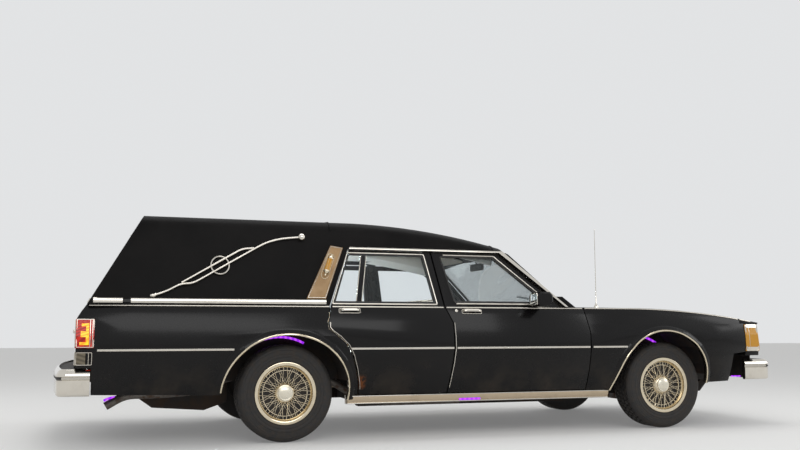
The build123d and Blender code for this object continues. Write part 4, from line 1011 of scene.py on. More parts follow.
REVEAL = half_round(0.011, 0.006)
GASKET = flat_bar(0.012, 0.0035, 0.0012)
for name, outline in (("rear", REAR_WINDOW), ("front", FRONT_WINDOW)):
    body = name + "_door_{}"
    pair(f"{name}_window_gasket", window_loop(outline, 0.004, GASKET, lift=-0.001), body, SEAL)
pair("rear_window_reveal", window_loop(REAR_WINDOW, 0.0165, REVEAL), "rear_door_{}", CHROME)
front_reveal = [(-0.092, 1.2905), (0.300, 1.2905), (0.312, 1.2870), (0.708, 0.9520),
                (0.712, 0.9400), (0.700, 0.9345), (-0.030, 0.9345)]
pair("front_window_reveal", strip([on_window(x, z) for x, z in front_reveal], REVEAL),
     "front_door_{}", CHROME)
for name, foot, head in (("rear", -0.772, -0.714), ("front", -0.732, -0.674)):
    line = [on_window(foot, 0.946), on_window(head, 1.272)]
    pair(f"divider_{name}_line", strip(line, half_round(0.006, 0.004)), "rear_door_{}", CHROME)

# Door edge guards, handles and locks
GUARD = half_round(0.007, 0.006)
REAR_GUARD = [(-0.964, 0.800), (-0.966, 0.766), (-0.948, 0.745), (-0.894, 0.706), (-0.834, 0.647),
              (-0.798, 0.578), (-0.768, 0.484), (-0.745, 0.392), (-0.738, 0.345)]
FRONT_GUARD = [(-0.0605, 0.800), (-0.0580, 0.700), (-0.0575, 0.620), (-0.0640, 0.520),
               (-0.0760, 0.400), (-0.0800, 0.345)]
for name, edge in (("rear", REAR_GUARD), ("front", FRONT_GUARD)):
    pair(f"{name}_edge_guard", strip(side_path(edge), GUARD), name + "_door_{}", CHROME)

HANDLE_Z = 0.880
PULL = [(-0.008, -0.003), (-0.009, 0.002), (-0.005, 0.005), (0.005, 0.005), (0.009, 0.002),
        (0.008, -0.003)]
LOCK = [(0.0, -0.003), (0.011, -0.003), (0.011, 0.003), (0.0085, 0.005), (0.0, 0.0055)]
for name, start, end in (("rear", -0.890, -0.759), ("front", 0.015, 0.146)):
    body = name + "_door_{}"
    plate = side_path(frame_outline(start - 0.010, end + 0.010, HANDLE_Z - 0.016,
                                    HANDLE_Z + 0.013, 0.010))
    pair(f"{name}_handle_rim", strip(plate, half_round(0.005, 0.004), closed=True), body, CHROME)
    pull = [on_side(x, HANDLE_Z, lift) for x, lift in
            ((start, 0.002), (start + 0.008, 0.018), (start + 0.020, 0.023), (end - 0.020, 0.023),
             (end - 0.008, 0.018), (end, 0.002))]
    pair(f"{name}_handle_pull", strip(pull, PULL), body, CHROME)
spot, out = on_side(-0.037, 0.884)
pair("front_door_lock", turned(LOCK, spot, 24, out), "front_door_{}", CHROME)

# Door mirrors: glass and rim on the rear face
MIRROR_X, MIRROR_Z = 0.590, 0.968
MIRROR_EDGE = frame_outline(-0.975, -1.085, MIRROR_Z - 0.040, MIRROR_Z + 0.040, 0.018)
bm = strip(facing_back(MIRROR_EDGE, MIRROR_X - 0.0600), half_round(0.008, 0.004), closed=True)
pair("mirror_rim", bm, "front_door_{}", CHROME)
bm = one_block((MIRROR_X - 0.0625, -1.083, MIRROR_Z - 0.038),
               (MIRROR_X - 0.0585, -0.977, MIRROR_Z + 0.038), 0.001)
pair("mirror_glass", bm, "front_door_{}", MIRROR)


# Landau roof: belt band, bars with ring

BAND = [(-0.0165, -0.002), (-0.0165, 0.009), (-0.0130, 0.0120), (-0.0040, 0.0100),
        (0.0060, 0.0105), (0.0130, 0.0120), (0.0165, 0.009), (0.0165, -0.002)]
BAND_Z = 0.9365
bm = bmesh.new()
for start, end in ((-2.496, -2.318), (-2.268, -0.988)):
    strip([on_wall(x, BAND_Z) for x in spread(start, end, 0.4)], BAND, bm=bm)
twin("landau_belt_band", bm, CHROME, ("landau_mouldings",))
bm = strip([on_wall(x, BAND_Z - 0.002) for x in (-2.322, -2.264)], flat_bar(0.020, 0.008))
twin("landau_band_bracket", bm, SEAL)

BAR_SPINE = [(-0.876, 0.966), (-0.800, 0.992), (-0.711, 1.042), (-0.631, 1.047), (-0.220, 1.291),
             (-0.138, 1.337), (-0.040, 1.366), (0.085, 1.380)]
BAR_UPPER = [(-0.705, 1.050), (-0.304, 1.288), (-0.225, 1.294)]
BAR_LIFT = 0.026
RING_X, RING_Z, RING_LIFT = REAR_AXLE - 0.453, 1.173, 0.019
BUTTON = (REAR_AXLE + 0.109, 1.384)
bm = bmesh.new()
for points in (BAR_SPINE, BAR_UPPER):
    path = [on_wall(REAR_AXLE + x, z, BAR_LIFT) for x, z in softened(points, 0.045)]
    strip(path, circle(0.0068, steps=10), bm=bm)
ring = [on_wall(RING_X + u, RING_Z + v, RING_LIFT) for u, v in circle(0.060, steps=36)]
strip(ring, circle(0.0055, steps=8), closed=True, bm=bm)
for x, z in ((-0.866, 0.972), (0.020, 1.373)):
    foot, out = on_wall(REAR_AXLE + x, z)
    rod(bm, foot - out * 0.002, foot + out * BAR_LIFT, 0.0075, 12)
tip, out = on_wall(*BUTTON, 0.020)
ball(bm, tip, 0.0265)
foot, out = on_wall(*BUTTON)
rod(bm, foot - out * 0.002, foot + out * 0.02, 0.011, 14)
heel, out = on_wall(REAR_AXLE - 0.884, 0.964, BAR_LIFT)
ball(bm, heel, 0.011, (1.8, 0.9, 0.9), 16, 10)
twin("landau_bar_rods", bm, CHROME, ("landau_bars",))

# Coach lamps: glass, end caps with cage, back plate
LAMP_FOOT, LAMP_HEAD, LAMP_LIFT = (-0.988, 1.122), (-0.937, 1.252), 0.034
CAGE_BARS, CAGE_RADIUS = 6, 0.0196
CAPSULE, GLASS_END = 0.024, 0.024
foot, out = on_wall(*LAMP_FOOT, LAMP_LIFT)
head, out = on_wall(*LAMP_HEAD, LAMP_LIFT)
along = (head - foot).normalized()
long = (head - foot).length
glass_profile = [(0.0, GLASS_END), (0.0155, GLASS_END), (0.0185, 0.030), (0.0190, long / 2),
                 (0.0180, long - 0.030), (0.0150, long - GLASS_END), (0.0, long - GLASS_END)]
metal_profile = [(0.0, -0.016), (0.0055, -0.013), (0.0075, -0.007), (0.0055, -0.001),
                 (0.0045, 0.003), (0.0120, 0.007), (0.0190, 0.016), (0.0215, 0.023),
                 (0.0200, 0.028), (0.0130, 0.028), (0.0, 0.028)]
top_profile = [(0.0, long - 0.028), (0.0130, long - 0.028), (0.0195, long - 0.027),
               (0.0205, long - 0.020), (0.0150, long - 0.008), (0.0060, long - 0.002),
               (0.0050, long + 0.004), (0.0060, long + 0.008), (0.0, long + 0.013)]
across = along.cross(out).normalized()
upright = {"steps": 28, "axis": along, "side": across}
twin("coach_lamp_glass", turned(glass_profile, foot, **upright), AMBER, ("coach_lamps",))
bm = turned(metal_profile, foot, **upright)
join_mesh(bm, turned(top_profile, foot, **upright))
for share in (0.22, 0.78):
    spot = foot + (head - foot) * share
    rod(bm, spot - out * 0.036, spot - out * 0.012, 0.006, 12)
for turn in range(CAGE_BARS):
    spin = Matrix.Rotation(math.tau * turn / CAGE_BARS, 3, along)
    edge_at = spin @ (across * CAGE_RADIUS)
    rod(bm, foot + along * GLASS_END + edge_at, head - along * GLASS_END + edge_at * 0.97,
        0.0011, 6)
twin("coach_lamp_metal", bm, GOLD)
lean = math.atan2(LAMP_HEAD[1] - LAMP_FOOT[1], LAMP_HEAD[0] - LAMP_FOOT[0]) - math.pi / 2
capsule = []
for (x, z), start in ((LAMP_FOOT, math.pi), (LAMP_HEAD, 0)):
    capsule += [(x + CAPSULE * math.cos(start + lean + math.pi * k / 10),
                 z + CAPSULE * math.sin(start + lean + math.pi * k / 10)) for k in range(11)]
bm = strip([on_wall(x, z, 0.006) for x, z in capsule], half_round(0.006, 0.005), closed=True)
twin("coach_lamp_rim", bm, GOLD)
bm = bmesh.new()
bmesh.ops.contextual_create(bm, geom=[bm.verts.new(on_wall(x, z, 0.0075)[0])
                                      for x, z in capsule])
twin("coach_lamp_plate", bm, TAN)

panel_edge = [(-1.122, 0.960), (-0.988, 0.960), (-0.845, 1.322), (-0.934, 1.336)]
bm = strip([on_wall(x, z, 0.004) for x, z in grown(panel_edge, -0.006)], half_round(0.006, 0.006),
           closed=True)
twin("landau_panel_bead", bm, CHROME)

# Welts across the vinyl roof
ROOF_BREAK, ROOF_RADIUS = -0.850, 5.200
WELT = half_round(0.014, 0.004)


def roof_drop(x):
    """How far the roof has come down from its crown."""
    return arc_drop(max(0, x - ROOF_BREAK), ROOF_RADIUS)


ROOF_SECTION = [(-0.775, 1.450), (-0.766, 1.472), (-0.752, 1.490), (-0.730, 1.504),
                (-0.700, 1.513), (-0.560, 1.524), (-0.325, 1.539), (0.0, 1.545)]


def roof_line(x):
    """Points over the roof from side to side with outward directions."""
    half = [Vector((x, y, z - roof_drop(x))) for y, z in ROOF_SECTION]
    points = half + [Vector((p.x, -p.y, p.z)) for p in half[-2::-1]]
    return [(point, AHEAD.cross(run).normalized()) for point, run in tangents(points)]


bm = bmesh.new()
for x in (-0.930, 0.330):
    strip(roof_line(x), WELT, bm=bm)
piece("roof_welts", bm, FIXED, VINYL)


# Windscreen surround, cowl and wipers

SHIELD_TOP = Vector((0.481, 0, 1.375))
SHIELD_DIR = Vector((0.7592, 0, -0.6508))
SHIELD_OUT = Vector((0.6508, 0, 0.7592))
SHIELD_BEND, SHIELD_HALF = 0.100, 0.900
HEADER_HALF, BLADE_DOWN = 0.735, 0.560


def on_shield(y, along, lift=0.0):
    """A point on the curved windscreen, by half width and distance down the glass."""
    bend = SHIELD_BEND * (y / SHIELD_HALF) ** 2
    slope = 2 * SHIELD_BEND * y / SHIELD_HALF ** 2
    out = (SHIELD_OUT - SIDEWAYS * slope).normalized()
    return SHIELD_TOP + SHIELD_DIR * along + SHIELD_OUT * (lift - bend) + Vector((0, y, 0)), out


def shield_edge(y_half, along):
    return [on_shield(y, along) for y in spread(-y_half, y_half, 0.10)]


piece("windscreen_header", strip(shield_edge(HEADER_HALF, 0.012), half_round(0.018, 0.007)), FIXED,
      CHROME)
piece("windscreen_band", strip(shield_edge(HEADER_HALF, 0.042), flat_bar(0.050, 0.0045)), FIXED,
      SEAL)
piece("windscreen_foot", strip(shield_edge(0.840, 0.655), flat_bar(0.022, 0.006)), FIXED, SEAL)
bm = strip([on_shield(-0.743 - 0.188 * along, along) for along in spread(0.015, 0.640, 0.1)],
           flat_bar(0.024, 0.007, sunk=0.004))
twin("windscreen_side_seal", bm, SEAL)
bm = bmesh.new()
for y in spread(-0.60, 0.60, 0.032):
    block(bm, (0.985, y - 0.011, 0.8842), (1.075, y + 0.011, 0.8885), 0.0015, 1)
piece("cowl_louvres", bm, FIXED, SEAL)
bm = bmesh.new()
for pivot, tip in ((-0.62, -0.02), (0.02, 0.62)):
    hub = Vector((1.045, pivot, 0.884))
    block(bm, hub - Vector((0.014, 0.014, 0.004)), hub + Vector((0.014, 0.014, 0.022)), 0.004)
    knee, out = on_shield(pivot + 0.06, 0.640, 0.016)
    far, out = on_shield(tip, BLADE_DOWN, 0.014)
    rod(bm, hub + Vector((0, 0, 0.016)), knee, 0.0045)
    rod(bm, knee, far, 0.0035)
    blade = [on_shield(y, BLADE_DOWN + 0.075 * (tip - y) / 0.45, 0.010)
             for y in spread(tip - 0.40, tip + 0.06, 0.08)]
    strip(blade, [(-0.004, -0.007), (-0.005, 0.003), (0.005, 0.003), (0.004, -0.007)], bm=bm)
piece("wipers", bm, FIXED, SEAL)

# Hood: bright centre spear
SPEAR_RISE = 0.0195
spear = [(Vector((x, 0, fender_z(x) + SPEAR_RISE)),
          Vector((max(0, x - HOOD_BREAK) / HOOD_RADIUS, 0, 1))) for x in spread(1.135, 2.360, 0.07)]
piece("hood_spear", strip(spear, half_round(0.016, 0.007)), "hood", CHROME)


# Nose: lamp and grille bezels, grille wires

NOSE_FACE, NOSE_HEAD, NOSE_TALL, NOSE_LEAN = 2.556, 0.780, 0.235, 0.014


def nose_x(z):
    """The nose panel's face leans forward towards its foot."""
    return NOSE_FACE + NOSE_LEAN * min(1, max(0, (NOSE_HEAD - z) / NOSE_TALL))


def on_nose(outline):
    """A path of y and z on the nose panel's face."""
    return [(Vector((nose_x(z), y, z)), AHEAD) for y, z in outline]


def nose_loop(bm, left, right, low, high, corner, section):
    """Draws a closed section round a lamp or the grille."""
    strip(on_nose(frame_outline(left, right, low, high, corner)), section, closed=True, bm=bm)


HEAD_Z, LAMP_WIDE, LAMP_TALL = 0.672, 0.190, 0.125
HEADLAMPS = (-0.650, -0.435, 0.435, 0.650)
bezels = bmesh.new()
for y in HEADLAMPS:
    nose_loop(bezels, y - LAMP_WIDE / 2, y + LAMP_WIDE / 2, HEAD_Z - LAMP_TALL / 2,
              HEAD_Z + LAMP_TALL / 2, 0.012, flat_bar(0.016, 0.008, 0.003))
nose_loop(bezels, -0.758, 0.758, HEAD_Z - 0.075, HEAD_Z + 0.077, 0.010, half_round(0.010, 0.006))
nose_loop(bezels, -0.300, 0.300, 0.570, 0.770, 0.006, flat_bar(0.022, 0.016, 0.006))
piece("nose_bezels", bezels, FIXED, CHROME)
# A near-black plate behind the grille wires: painted shade inside the grille
bm = one_block((2.5315, -0.298, 0.572), (2.5345, 0.298, 0.768), 0.0008, 1)
piece("grille_shade_backing", bm, FIXED, PAINTED_SHADE)
bm = bmesh.new()
for y in spread(-0.262, 0.262, 0.0437):
    rod(bm, (2.549, y, 0.585), (2.547, y, 0.757), 0.0022)
for z in (0.625, 0.670, 0.715):
    rod(bm, (2.550, -0.292, z), (2.550, 0.292, z), 0.0028)
piece("grille_wires", bm, FIXED, CHROME)

bm = strip(side_path(rounded([(2.444, 0.586), (2.560, 0.586), (2.550, 0.784), (2.444, 0.784)],
                             0.010), 0.002), flat_bar(0.012, 0.007, 0.003), closed=True)
for z, wide in ((0.600, 0.026), (0.772, 0.020)):
    strip(level_line(2.449, 2.553, z, 0.002), flat_bar(wide, 0.006, 0.003), bm=bm)
strip(upright_line(2.474, 0.612, 0.764, 0.002), half_round(0.004, 0.004), bm=bm)
twin("corner_lamp_bezels", bm, CHROME)
bm = bmesh.new()
nose_loop(bm, -0.912, -0.808, 0.588, 0.782, 0.008, flat_bar(0.010, 0.006, 0.003))
strip(on_nose([(-0.906, 0.600), (-0.812, 0.600)]), flat_bar(0.026, 0.006, 0.003), bm=bm)
twin("corner_lamp_front_bezels", bm, CHROME)


# Bumpers: wrapped bar with a sloped ledge, rub strip and backing

CORNER = [(0.060, 0.010), (0.030, 0.017), (0.010, 0.034), (0.0, 0.062)]


def bumper_path(end_x, face_x, centre_x, half, z):
    """Right end, round the corner, across the bow and back."""
    sign = 1 if centre_x > end_x else -1
    right = [Vector((end_x, -half))]
    right += [Vector((face_x - sign * back, inward - half)) for back, inward in CORNER]
    flat = half - CORNER[-1][1]
    bow = [Vector((face_x + (centre_x - face_x) * (1 - (y / flat) ** 2), y))
           for y in spread(0.16 - half, half - 0.16)]
    plan = right + bow + [Vector((p.x, -p.y)) for p in right[::-1]]
    path = [(Vector((p.x, p.y, z)), Vector((run.y, -run.x, 0)) * sign)
            for p, run in tangents(plan)]
    return path if sign > 0 else path[::-1]


def bumper_face(tall):
    """Bumper section: undercut foot, plain face, groove for the rub strip, sloped ledge."""
    half = tall / 2
    return [(-half, -0.030), (-half, -0.014), (-half + 0.010, -0.005), (0.016, -0.003),
            (0.020, -0.008), (0.034, -0.008), (0.038, -0.0005), (0.046, -0.0005),
            (half - 0.012, -0.014), (half - 0.002, -0.026), (half, -0.034),
            (half - 0.012, -0.036), (-half + 0.012, -0.036)]


RUB_FACE = [(0.0205, -0.010), (0.0215, -0.0030), (0.0240, -0.0010), (0.0300, -0.0010),
            (0.0325, -0.0030), (0.0335, -0.010)]


def bumper_shade_backing(tall):
    """Two thin sections behind the bar: an upright back plate and a shelf to the body."""
    half = tall / 2
    plate = [(-half + 0.012, -0.036), (half - 0.014, -0.036), (half - 0.014, -0.044),
             (-half + 0.012, -0.044)]
    shelf = [(half - 0.022, -0.034), (half - 0.014, -0.034), (half - 0.014, -0.128),
             (half - 0.022, -0.128)]
    return plate, shelf


for name, end_x, face_x, centre_x, half, low, high in (
        ("front", 2.441, 2.700, 2.750, 0.905, 0.356, 0.512),
        ("rear", -2.500, -2.704, -2.750, 0.925, 0.336, 0.505)):
    path = bumper_path(end_x, face_x, centre_x, half, (low + high) / 2)
    piece(f"{name}_bumper_bar", strip(path, bumper_face(high - low)), FIXED, CHROME,
          (f"{name}_bumper",), crease=50)
    piece(f"{name}_bumper_strip", strip(path[2:-2], RUB_FACE), FIXED, SEAL)
    plate, shelf = bumper_shade_backing(high - low)
    bm = strip(path[1:-1], plate)
    strip(path[4:-4], shelf, bm=bm)
    # The backing's near-black finish is painted shade inside the bumper
    piece(f"{name}_bumper_shade_backing", bm, FIXED, PAINTED_SHADE)


# Splash panels behind the front bumper and ahead of the front wheels, near-black as painted shade
# in the gaps
bm = one_block((2.540, -0.835, 0.362), (2.546, 0.835, 0.552), 0.001, 1)
for side in (-1, 1):
    block(bm, (1.990, side * 0.482 - 0.003, 0.335), (2.400, side * 0.482 + 0.003, 0.480), 0.001, 1)
piece("front_splash_shade_panels", bm, FIXED, PAINTED_SHADE)


# Tail lamps and the small lamps under them

TAIL_FACE = -2.590
bm = bmesh.new()
for x in (-2.506, -2.491):
    strip(upright_line(x, 0.646, 0.812, 0.003), half_round(0.006, 0.005), bm=bm)
for front_x, low, high, lift in ((-2.484, 0.642, 0.815, 0.003), (-2.512, 0.533, 0.609, 0.002),
                                 (-2.492, 0.533, 0.609, 0.002)):
    strip(side_path(frame_outline(-2.586, front_x, low, high, 0.006), lift),
          half_round(0.006, 0.005), closed=True, bm=bm)
for low, high in ((0.643, 0.814), (0.534, 0.608)):
    outline = frame_outline(-0.955, -0.838, low, high, 0.005)
    strip(facing_back(outline, TAIL_FACE - 0.0035), half_round(0.007, 0.004), closed=True, bm=bm)
twin("tail_lamp_bezels", bm, CHROME)
bm = strip(upright_line(-2.522, 0.656, 0.790, 0.003, 0.035), flat_bar(0.018, 0.003, 0.001))
for z, start, tall in ((0.665, -2.568, 0.018), (0.723, -2.562, 0.036), (0.781, -2.558, 0.018)):
    strip(level_line(start, -2.526, z, 0.003), flat_bar(tall, 0.003, 0.001), bm=bm)
for z in (0.672, 0.728, 0.784):
    block(bm, (TAIL_FACE - 0.0068, -0.944, z - 0.020), (TAIL_FACE - 0.0030, -0.850, z + 0.020),
          0.002, 1)
twin("tail_lamp_lit", bm, LIT)

# Tail door: window reveal, band, handle, hinges, plate and its lamp
SLOPE_FOOT, SLOPE = -2.533, 0.5627
SLOPE_OUT = Vector((-1, 0, SLOPE)).normalized()


def on_slope(y, z, lift=0.0):
    """A point on the tail door's sloping face and its outward direction."""
    return Vector((SLOPE_FOOT + SLOPE * (z - BELT), y, z)) + SLOPE_OUT * lift, SLOPE_OUT


TAIL_WINDOW = [(-0.520, 0.985), (0.520, 0.985), (0.440, 1.350), (-0.440, 1.350)]
piece("tail_window_reveal", window_loop(TAIL_WINDOW, 0.020, half_round(0.014, 0.007), on_slope,
                                        corner=0.03), "tail_door", CHROME)
piece("tail_window_gasket", window_loop(TAIL_WINDOW, 0.004, flat_bar(0.016, 0.004), on_slope,
                                        corner=0.02), "tail_door", SEAL)
bm = strip([on_slope(y, BAND_Z) for y in (-0.775, 0.775)], BAND)
piece("tail_belt_band", bm, "tail_door", CHROME)
bm = bmesh.new()
outline = frame_outline(-0.175, 0.175, 0.690, 0.830, 0.012)
strip(facing_back(outline, TAIL_FACE), half_round(0.010, 0.007), closed=True, bm=bm)
block(bm, (TAIL_FACE - 0.026, -0.735, 0.728), (TAIL_FACE + 0.002, -0.600, 0.752), 0.006)
block(bm, (TAIL_FACE - 0.012, -0.745, 0.722), (TAIL_FACE + 0.002, -0.590, 0.758), 0.004)
for y in (-0.089, 0.089):
    rod(bm, (TAIL_FACE - 0.008, y, 0.760), (TAIL_FACE + 0.002, y, 0.760), 0.007, 12)
piece("tail_door_trim", bm, "tail_door", CHROME)
bm = one_block((TAIL_FACE - 0.0045, -0.152, 0.698), (TAIL_FACE - 0.0010, 0.152, 0.822), 0.0015)
piece("number_plate_blank", bm, "tail_door", PLATE)
bm = one_block((TAIL_FACE - 0.020, -0.060, 0.833), (TAIL_FACE + 0.002, 0.060, 0.852), 0.005)
piece("plate_lamp", bm, "tail_door", CLEAR)
bm = bmesh.new()
for z in (0.600, 0.790, 0.880):
    rod(bm, (-2.600, 0.822, z - 0.030), (-2.600, 0.822, z + 0.030), 0.009, 14)
piece("tail_hinges", bm, FIXED, CHROME)


# Cabin: seat, cards, lining, dash, wheel

STUFFING_FRAMES = 20


def seat_pad(name, low, high, swell, lean, stands_for=()):
    """A stuffed pad: remeshed, inflated as cloth with its movement capped, then smoothed."""
    bm = one_block(low, high, 0.035, 3)
    bmesh.ops.transform(bm, matrix=lean, verts=bm.verts)
    obj = piece(name, bm, FIXED, CLOTH, stands_for, crease=180)
    remesh = obj.modifiers.new("voxels", "REMESH")
    remesh.mode = "VOXEL"
    remesh.voxel_size = 0.014
    apply_all(obj)
    start = [v.co.copy() for v in obj.data.vertices]
    cloth = obj.modifiers.new("stuffing", "CLOTH")
    cloth.settings.use_pressure = True
    cloth.settings.uniform_pressure_force = 4
    cloth.settings.quality = 4
    cloth.settings.effector_weights.gravity = 0
    cloth.point_cache.frame_end = STUFFING_FRAMES
    for number in range(1, STUFFING_FRAMES + 1):
        scene.frame_set(number)
    apply_all(obj)
    for vertex, before in zip(obj.data.vertices, start):
        shift = vertex.co - before
        if shift.length > swell:
            vertex.co = before + shift.normalized() * swell
    scene.frame_set(1)
    smooth = obj.modifiers.new("smooth", "SUBSURF")
    smooth.levels = smooth.render_levels = 1
    apply_all(obj)
    obj.data.shade_smooth()


def apply_all(obj):
    """Makes the modifiers' result the piece's own mesh."""
    graph = bpy.context.evaluated_depsgraph_get()
    made = bpy.data.meshes.new_from_object(obj.evaluated_get(graph))
    obj.modifiers.clear()
    old = obj.data
    obj.data = made
    bpy.data.meshes.remove(old)


def tilted(degrees, pivot):
    """A turn about the car's width through a point."""
    pivot = Vector(pivot)
    return (Matrix.Translation(pivot) @ Matrix.Rotation(math.radians(degrees), 4, "Y")
            @ Matrix.Translation(-pivot))


for name, y0, y1 in (("right", -0.680, -0.235), ("middle", -0.225, 0.225), ("left", 0.235, 0.680)):
    seat_pad(f"seat_cushion_{name}", (0.050, y0, 0.450), (0.575, y1, 0.552), 0.012,
             tilted(-3, (0.05, 0, 0.45)), ("front_seat",) if name == "middle" else ())
    seat_pad(f"seat_back_{name}", (-0.030, y0, 0.480), (0.075, y1, 1.005), 0.010,
             tilted(-8.5, (0.10, 0, 0.50)))
piece("seat_base", one_block((-0.020, -0.600, 0.291), (0.520, 0.600, 0.452), 0.010), FIXED, CARPET)


def card_section(low, high, depth, thick):
    """The door's inner face as a thin section, height against half width."""
    heights = [low] + [z for z, half in SIDE_TABLE if low < z < high] + [high]
    inner = [(z, side_half(0, z) - depth - thick) for z in heights]
    outer = [(z, side_half(0, z) - depth) for z in heights[::-1]]
    return inner + outer


for name, start, end in (("front", -0.010, 0.950), ("rear", -0.700, -0.140)):
    body = name + "_door_{}"
    card = strip(straight(start, end), card_section(0.360, 0.900, 0.1165, 0.010))
    pair(f"{name}_door_card", card, body, CARD, crease=50)
    armrest = one_block((start + 0.12, -0.845, 0.600), (end - 0.14, -0.800, 0.648), 0.014, 3)
    pair(f"{name}_armrest", armrest, body, CARD)
    bright = strip(straight(start + 0.30, end - 0.20, -0.836, 0.735, -SIDEWAYS),
                   flat_bar(0.012, 0.005))
    pair(f"{name}_card_strip", bright, body, CHROME)

LINING_SECTION = [(-0.725, -0.130), (-0.715, -0.075), (-0.680, -0.045), (-0.560, -0.028),
                  (-0.300, -0.012), (0.0, -0.006)]
LINING_TOP = 1.500
loop = LINING_SECTION + [(-y, z) for y, z in LINING_SECTION[-2::-1]]
loop += [(y * 0.995, z - 0.006) for y, z in loop[::-1]]
path = [(Vector((x, 0, LINING_TOP - roof_drop(x))), UP) for x in spread(-2.05, 0.36, 0.15)]
piece("headliner", strip(path, [(-y, z) for y, z in loop]), FIXED, LINING)
bm = bmesh.new()
for x in (-1.700, -1.050, -0.400):
    drop = roof_drop(x)
    tilt = math.asin(max(0.0, x - ROOF_BREAK) / ROOF_RADIUS)
    block(bm, (x - 0.130, -0.065, 1.468 - drop), (x + 0.130, 0.065, 1.490 - drop), 0.008, 2,
          Matrix.Rotation(tilt, 3, "Y"))
piece("dome_lamps", bm, FIXED, DOME)

UPPER_LINING = [(0.792, 0.838), (0.905, 0.862), (1.300, 0.752), (1.380, 0.727), (1.380, 0.720),
                (1.300, 0.745), (0.905, 0.853), (0.792, 0.830)]
LOWER_LINING = [(0.600, 0.800), (0.790, 0.838), (0.790, 0.830), (0.600, 0.792)]
bm = bmesh.new()
for section, front in ((UPPER_LINING, -1.000), (LOWER_LINING, -1.740)):
    strip(straight(-2.280, front), section, bm=bm)
twin("load_space_lining", bm, LINING, crease=50)

# Floor coverings
bm = bmesh.new()
block(bm, (0.020, -0.700, 0.2905), (1.060, -0.172, 0.2965), 0.002)
block(bm, (0.020, 0.172, 0.2905), (1.060, 0.700, 0.2965), 0.002)
strip(straight(0.020, 1.070, out=UP),
      [(-0.176, 0.292), (-0.176, 0.4215), (-0.170, 0.4265), (0.170, 0.4265), (0.176, 0.4215),
       (0.176, 0.292), (0.171, 0.292), (0.171, 0.4205), (-0.171, 0.4205), (-0.171, 0.292)],
      bm=bm)
piece("cabin_carpet", bm, FIXED, CARPET)
bm = one_block((-2.500, -0.288, 0.5722), (-0.120, 0.288, 0.5765), 0.001, 1)
piece("load_floor_mat", bm, FIXED, CARPET, slot="deck_wood")
bm = bmesh.new()
for y in (-0.500, -0.350):
    strip(straight(-2.440, -0.150, y, 0.590, UP), half_round(0.018, 0.005), bm=bm)
twin("deck_runners", bm, CHROME)

# Carpeted sides below the deck inside the rear doors
bm = strip(straight(-0.786, -0.165),
           [(0.286, 0.732), (0.552, 0.732), (0.552, 0.738), (0.292, 0.738), (0.292, 0.792),
            (0.286, 0.792)])
twin("deck_side_panels", bm, CARPET, crease=50)

# Dashboard details and steering wheel
DASH_REAR = 0.816
DIAL = DASH_REAR - 0.012
bm = bmesh.new()
block(bm, (DIAL, 0.215, 0.700), (DASH_REAR + 0.080, 0.545, 0.842), 0.016, 3)
block(bm, (DASH_REAR - 0.045, 0.205, 0.826), (DASH_REAR + 0.100, 0.555, 0.850), 0.010, 3)
piece("instrument_hood", bm, FIXED, DASH)
bm = bmesh.new()
for y, r in ((0.305, 0.048), (0.455, 0.048), (0.380, 0.022)):
    dial = [(0.0, 0.0), (r, 0.0), (r, 0.004), (r - 0.004, 0.006), (r - 0.006, 0.003), (0.0, 0.003)]
    join_mesh(bm, turned(dial, (DIAL, y, 0.768), 32, axis=BEHIND, side=-SIDEWAYS))
for y in (-0.560, -0.080, 0.110, 0.640):
    for z in (0.788, 0.776, 0.764):
        block(bm, (DASH_REAR - 0.004, y - 0.045, z - 0.003),
              (DASH_REAR + 0.004, y + 0.045, z + 0.003), 0.001, 1)
strip(facing_back([(0.190, 0.735), (-0.700, 0.735)], DASH_REAR + 0.001), half_round(0.008, 0.004),
      bm=bm)
piece("dash_brightwork", bm, FIXED, CHROME)

COLUMN_END = Vector((0.686, 0.380, 0.800))
COLUMN_LEAN = math.radians(28)
COLUMN_OUT = Vector((-math.cos(COLUMN_LEAN), 0, math.sin(COLUMN_LEAN)))
COLUMN_SIDE = -SIDEWAYS
around = circle(0.0125, 0.0115, 12)
rim = [(0.178 + u, 0.030 + v) for u, v in around + around[:1]]
boss = [(0.0120, 0.010), (0.046, 0.010), (0.050, 0.020), (0.046, 0.036), (0.030, 0.044),
        (0.0, 0.046)]
bm = turned(rim, COLUMN_END, 56, axis=COLUMN_OUT, side=COLUMN_SIDE)
join_mesh(bm, turned(boss, COLUMN_END, 32, axis=COLUMN_OUT, side=COLUMN_SIDE))
upward = COLUMN_OUT.cross(COLUMN_SIDE).normalized()
for turn in (math.radians(30), math.radians(150), math.radians(270)):
    reach = COLUMN_SIDE * math.cos(turn) - upward * math.sin(turn)
    strip([(COLUMN_END + COLUMN_OUT * 0.026 + reach * d, COLUMN_OUT) for d in (0.035, 0.10, 0.172)],
          [(-0.015, -0.006), (-0.015, 0.004), (-0.009, 0.008), (0.009, 0.008), (0.015, 0.004),
           (0.015, -0.006)], bm=bm)
piece("steering_wheel_rim", bm, "steering_wheel", DASH, ("steering_wheel",))

# Mirror and visors at the header
bm = one_block((0.505, -0.125, 1.235), (0.530, 0.125, 1.295), 0.010, 3)
rod(bm, (0.515, 0, 1.290), (0.500, 0, 1.345), 0.006)
piece("cabin_mirror", bm, FIXED, SEAL)
bm = bmesh.new()
for y in (-0.390, 0.390):
    block(bm, (0.300, y - 0.230, 1.335), (0.460, y + 0.230, 1.352), 0.008, 3,
          Matrix.Rotation(math.radians(18), 3, "Y"))
piece("sun_visors", bm, FIXED, LINING)


# Antenna, exhaust pipework and diode bars

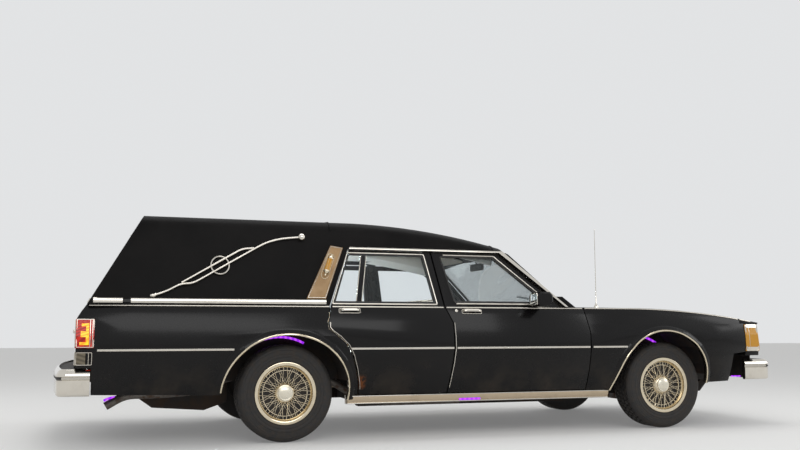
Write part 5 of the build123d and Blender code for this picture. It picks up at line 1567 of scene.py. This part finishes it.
antenna_foot = Vector((1.125, -0.880, BELT))
bm = turned([(0.0, 0.0), (0.018, 0.0), (0.017, 0.010), (0.010, 0.022), (0.006, 0.034),
             (0.0042, 0.040), (0.0030, 0.200), (0.0024, 0.400), (0.0017, 0.594), (0.0032, 0.596),
             (0.0030, 0.600), (0.0, 0.600)], antenna_foot, 16, axis=(0, 0, 1))
piece("antenna_mast", bm, FIXED, CHROME, ("antenna",))
PIPE_Y, PIPE_END_Y = RAIL_Y - 0.130, -0.700
SILENCER_Y, SILENCER_Z = PIPE_Y - 0.010, 0.2352
PIPE_ROUTE = [(0.770, PIPE_Y, 0.234), (0.620, PIPE_Y, 0.240), (0.300, PIPE_Y, 0.440),
              (-0.300, PIPE_Y, 0.440), (-0.560, PIPE_Y, 0.330), (-0.820, PIPE_END_Y, 0.325),
              (-1.030, PIPE_END_Y, 0.325), (-1.150, PIPE_END_Y, 0.255)]
route = softened([(REAR_AXLE + x, y, z) for x, y, z in PIPE_ROUTE], 0.110)
bm = strip([(point, UP) for point in route[::-1]], circle(0.0270, steps=16))
for start, end, grow in ((0.762, 1.358, 1.0), (0.775, 0.783, 1.02), (1.337, 1.345, 1.02)):
    strip(straight(REAR_AXLE + start, REAR_AXLE + end, SILENCER_Y, SILENCER_Z, UP),
          circle(0.069 * grow, 0.034 * grow), bm=bm)
piece("exhaust_pipework", bm, FIXED, EXHAUST, ("exhaust",))
DIODE_ARC = 0.374
bm = bmesh.new()
for axle_x, wall, steps, first, last in ((REAR_AXLE, DECK_HALF, 10, 120, 62),
                                         (FRONT_AXLE, 0.480, 12, 122, 48)):
    bow = arch(axle_x, DIODE_ARC, DIODE_ARC, first, last, steps)
    strip(facing_right(bow, -wall - 0.005), flat_bar(0.016, 0.010), bm=bm)
twin("arch_diodes", bm, PURPLE)
pipe_end = REAR_AXLE + PIPE_ROUTE[-1][0]
over_pipe = [(pipe_end - 0.012, 0.291), (pipe_end + 0.010, 0.303), (pipe_end + 0.040, 0.311),
             (pipe_end + 0.070, 0.313)]
bm = strip(facing_right(over_pipe, PIPE_END_Y), half_round(0.015, 0.014))
strip(straight(2.390, 2.475, -0.790, 0.376), half_round(0.010, 0.012), bm=bm)
twin("end_diodes", bm, PURPLE)


low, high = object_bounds()
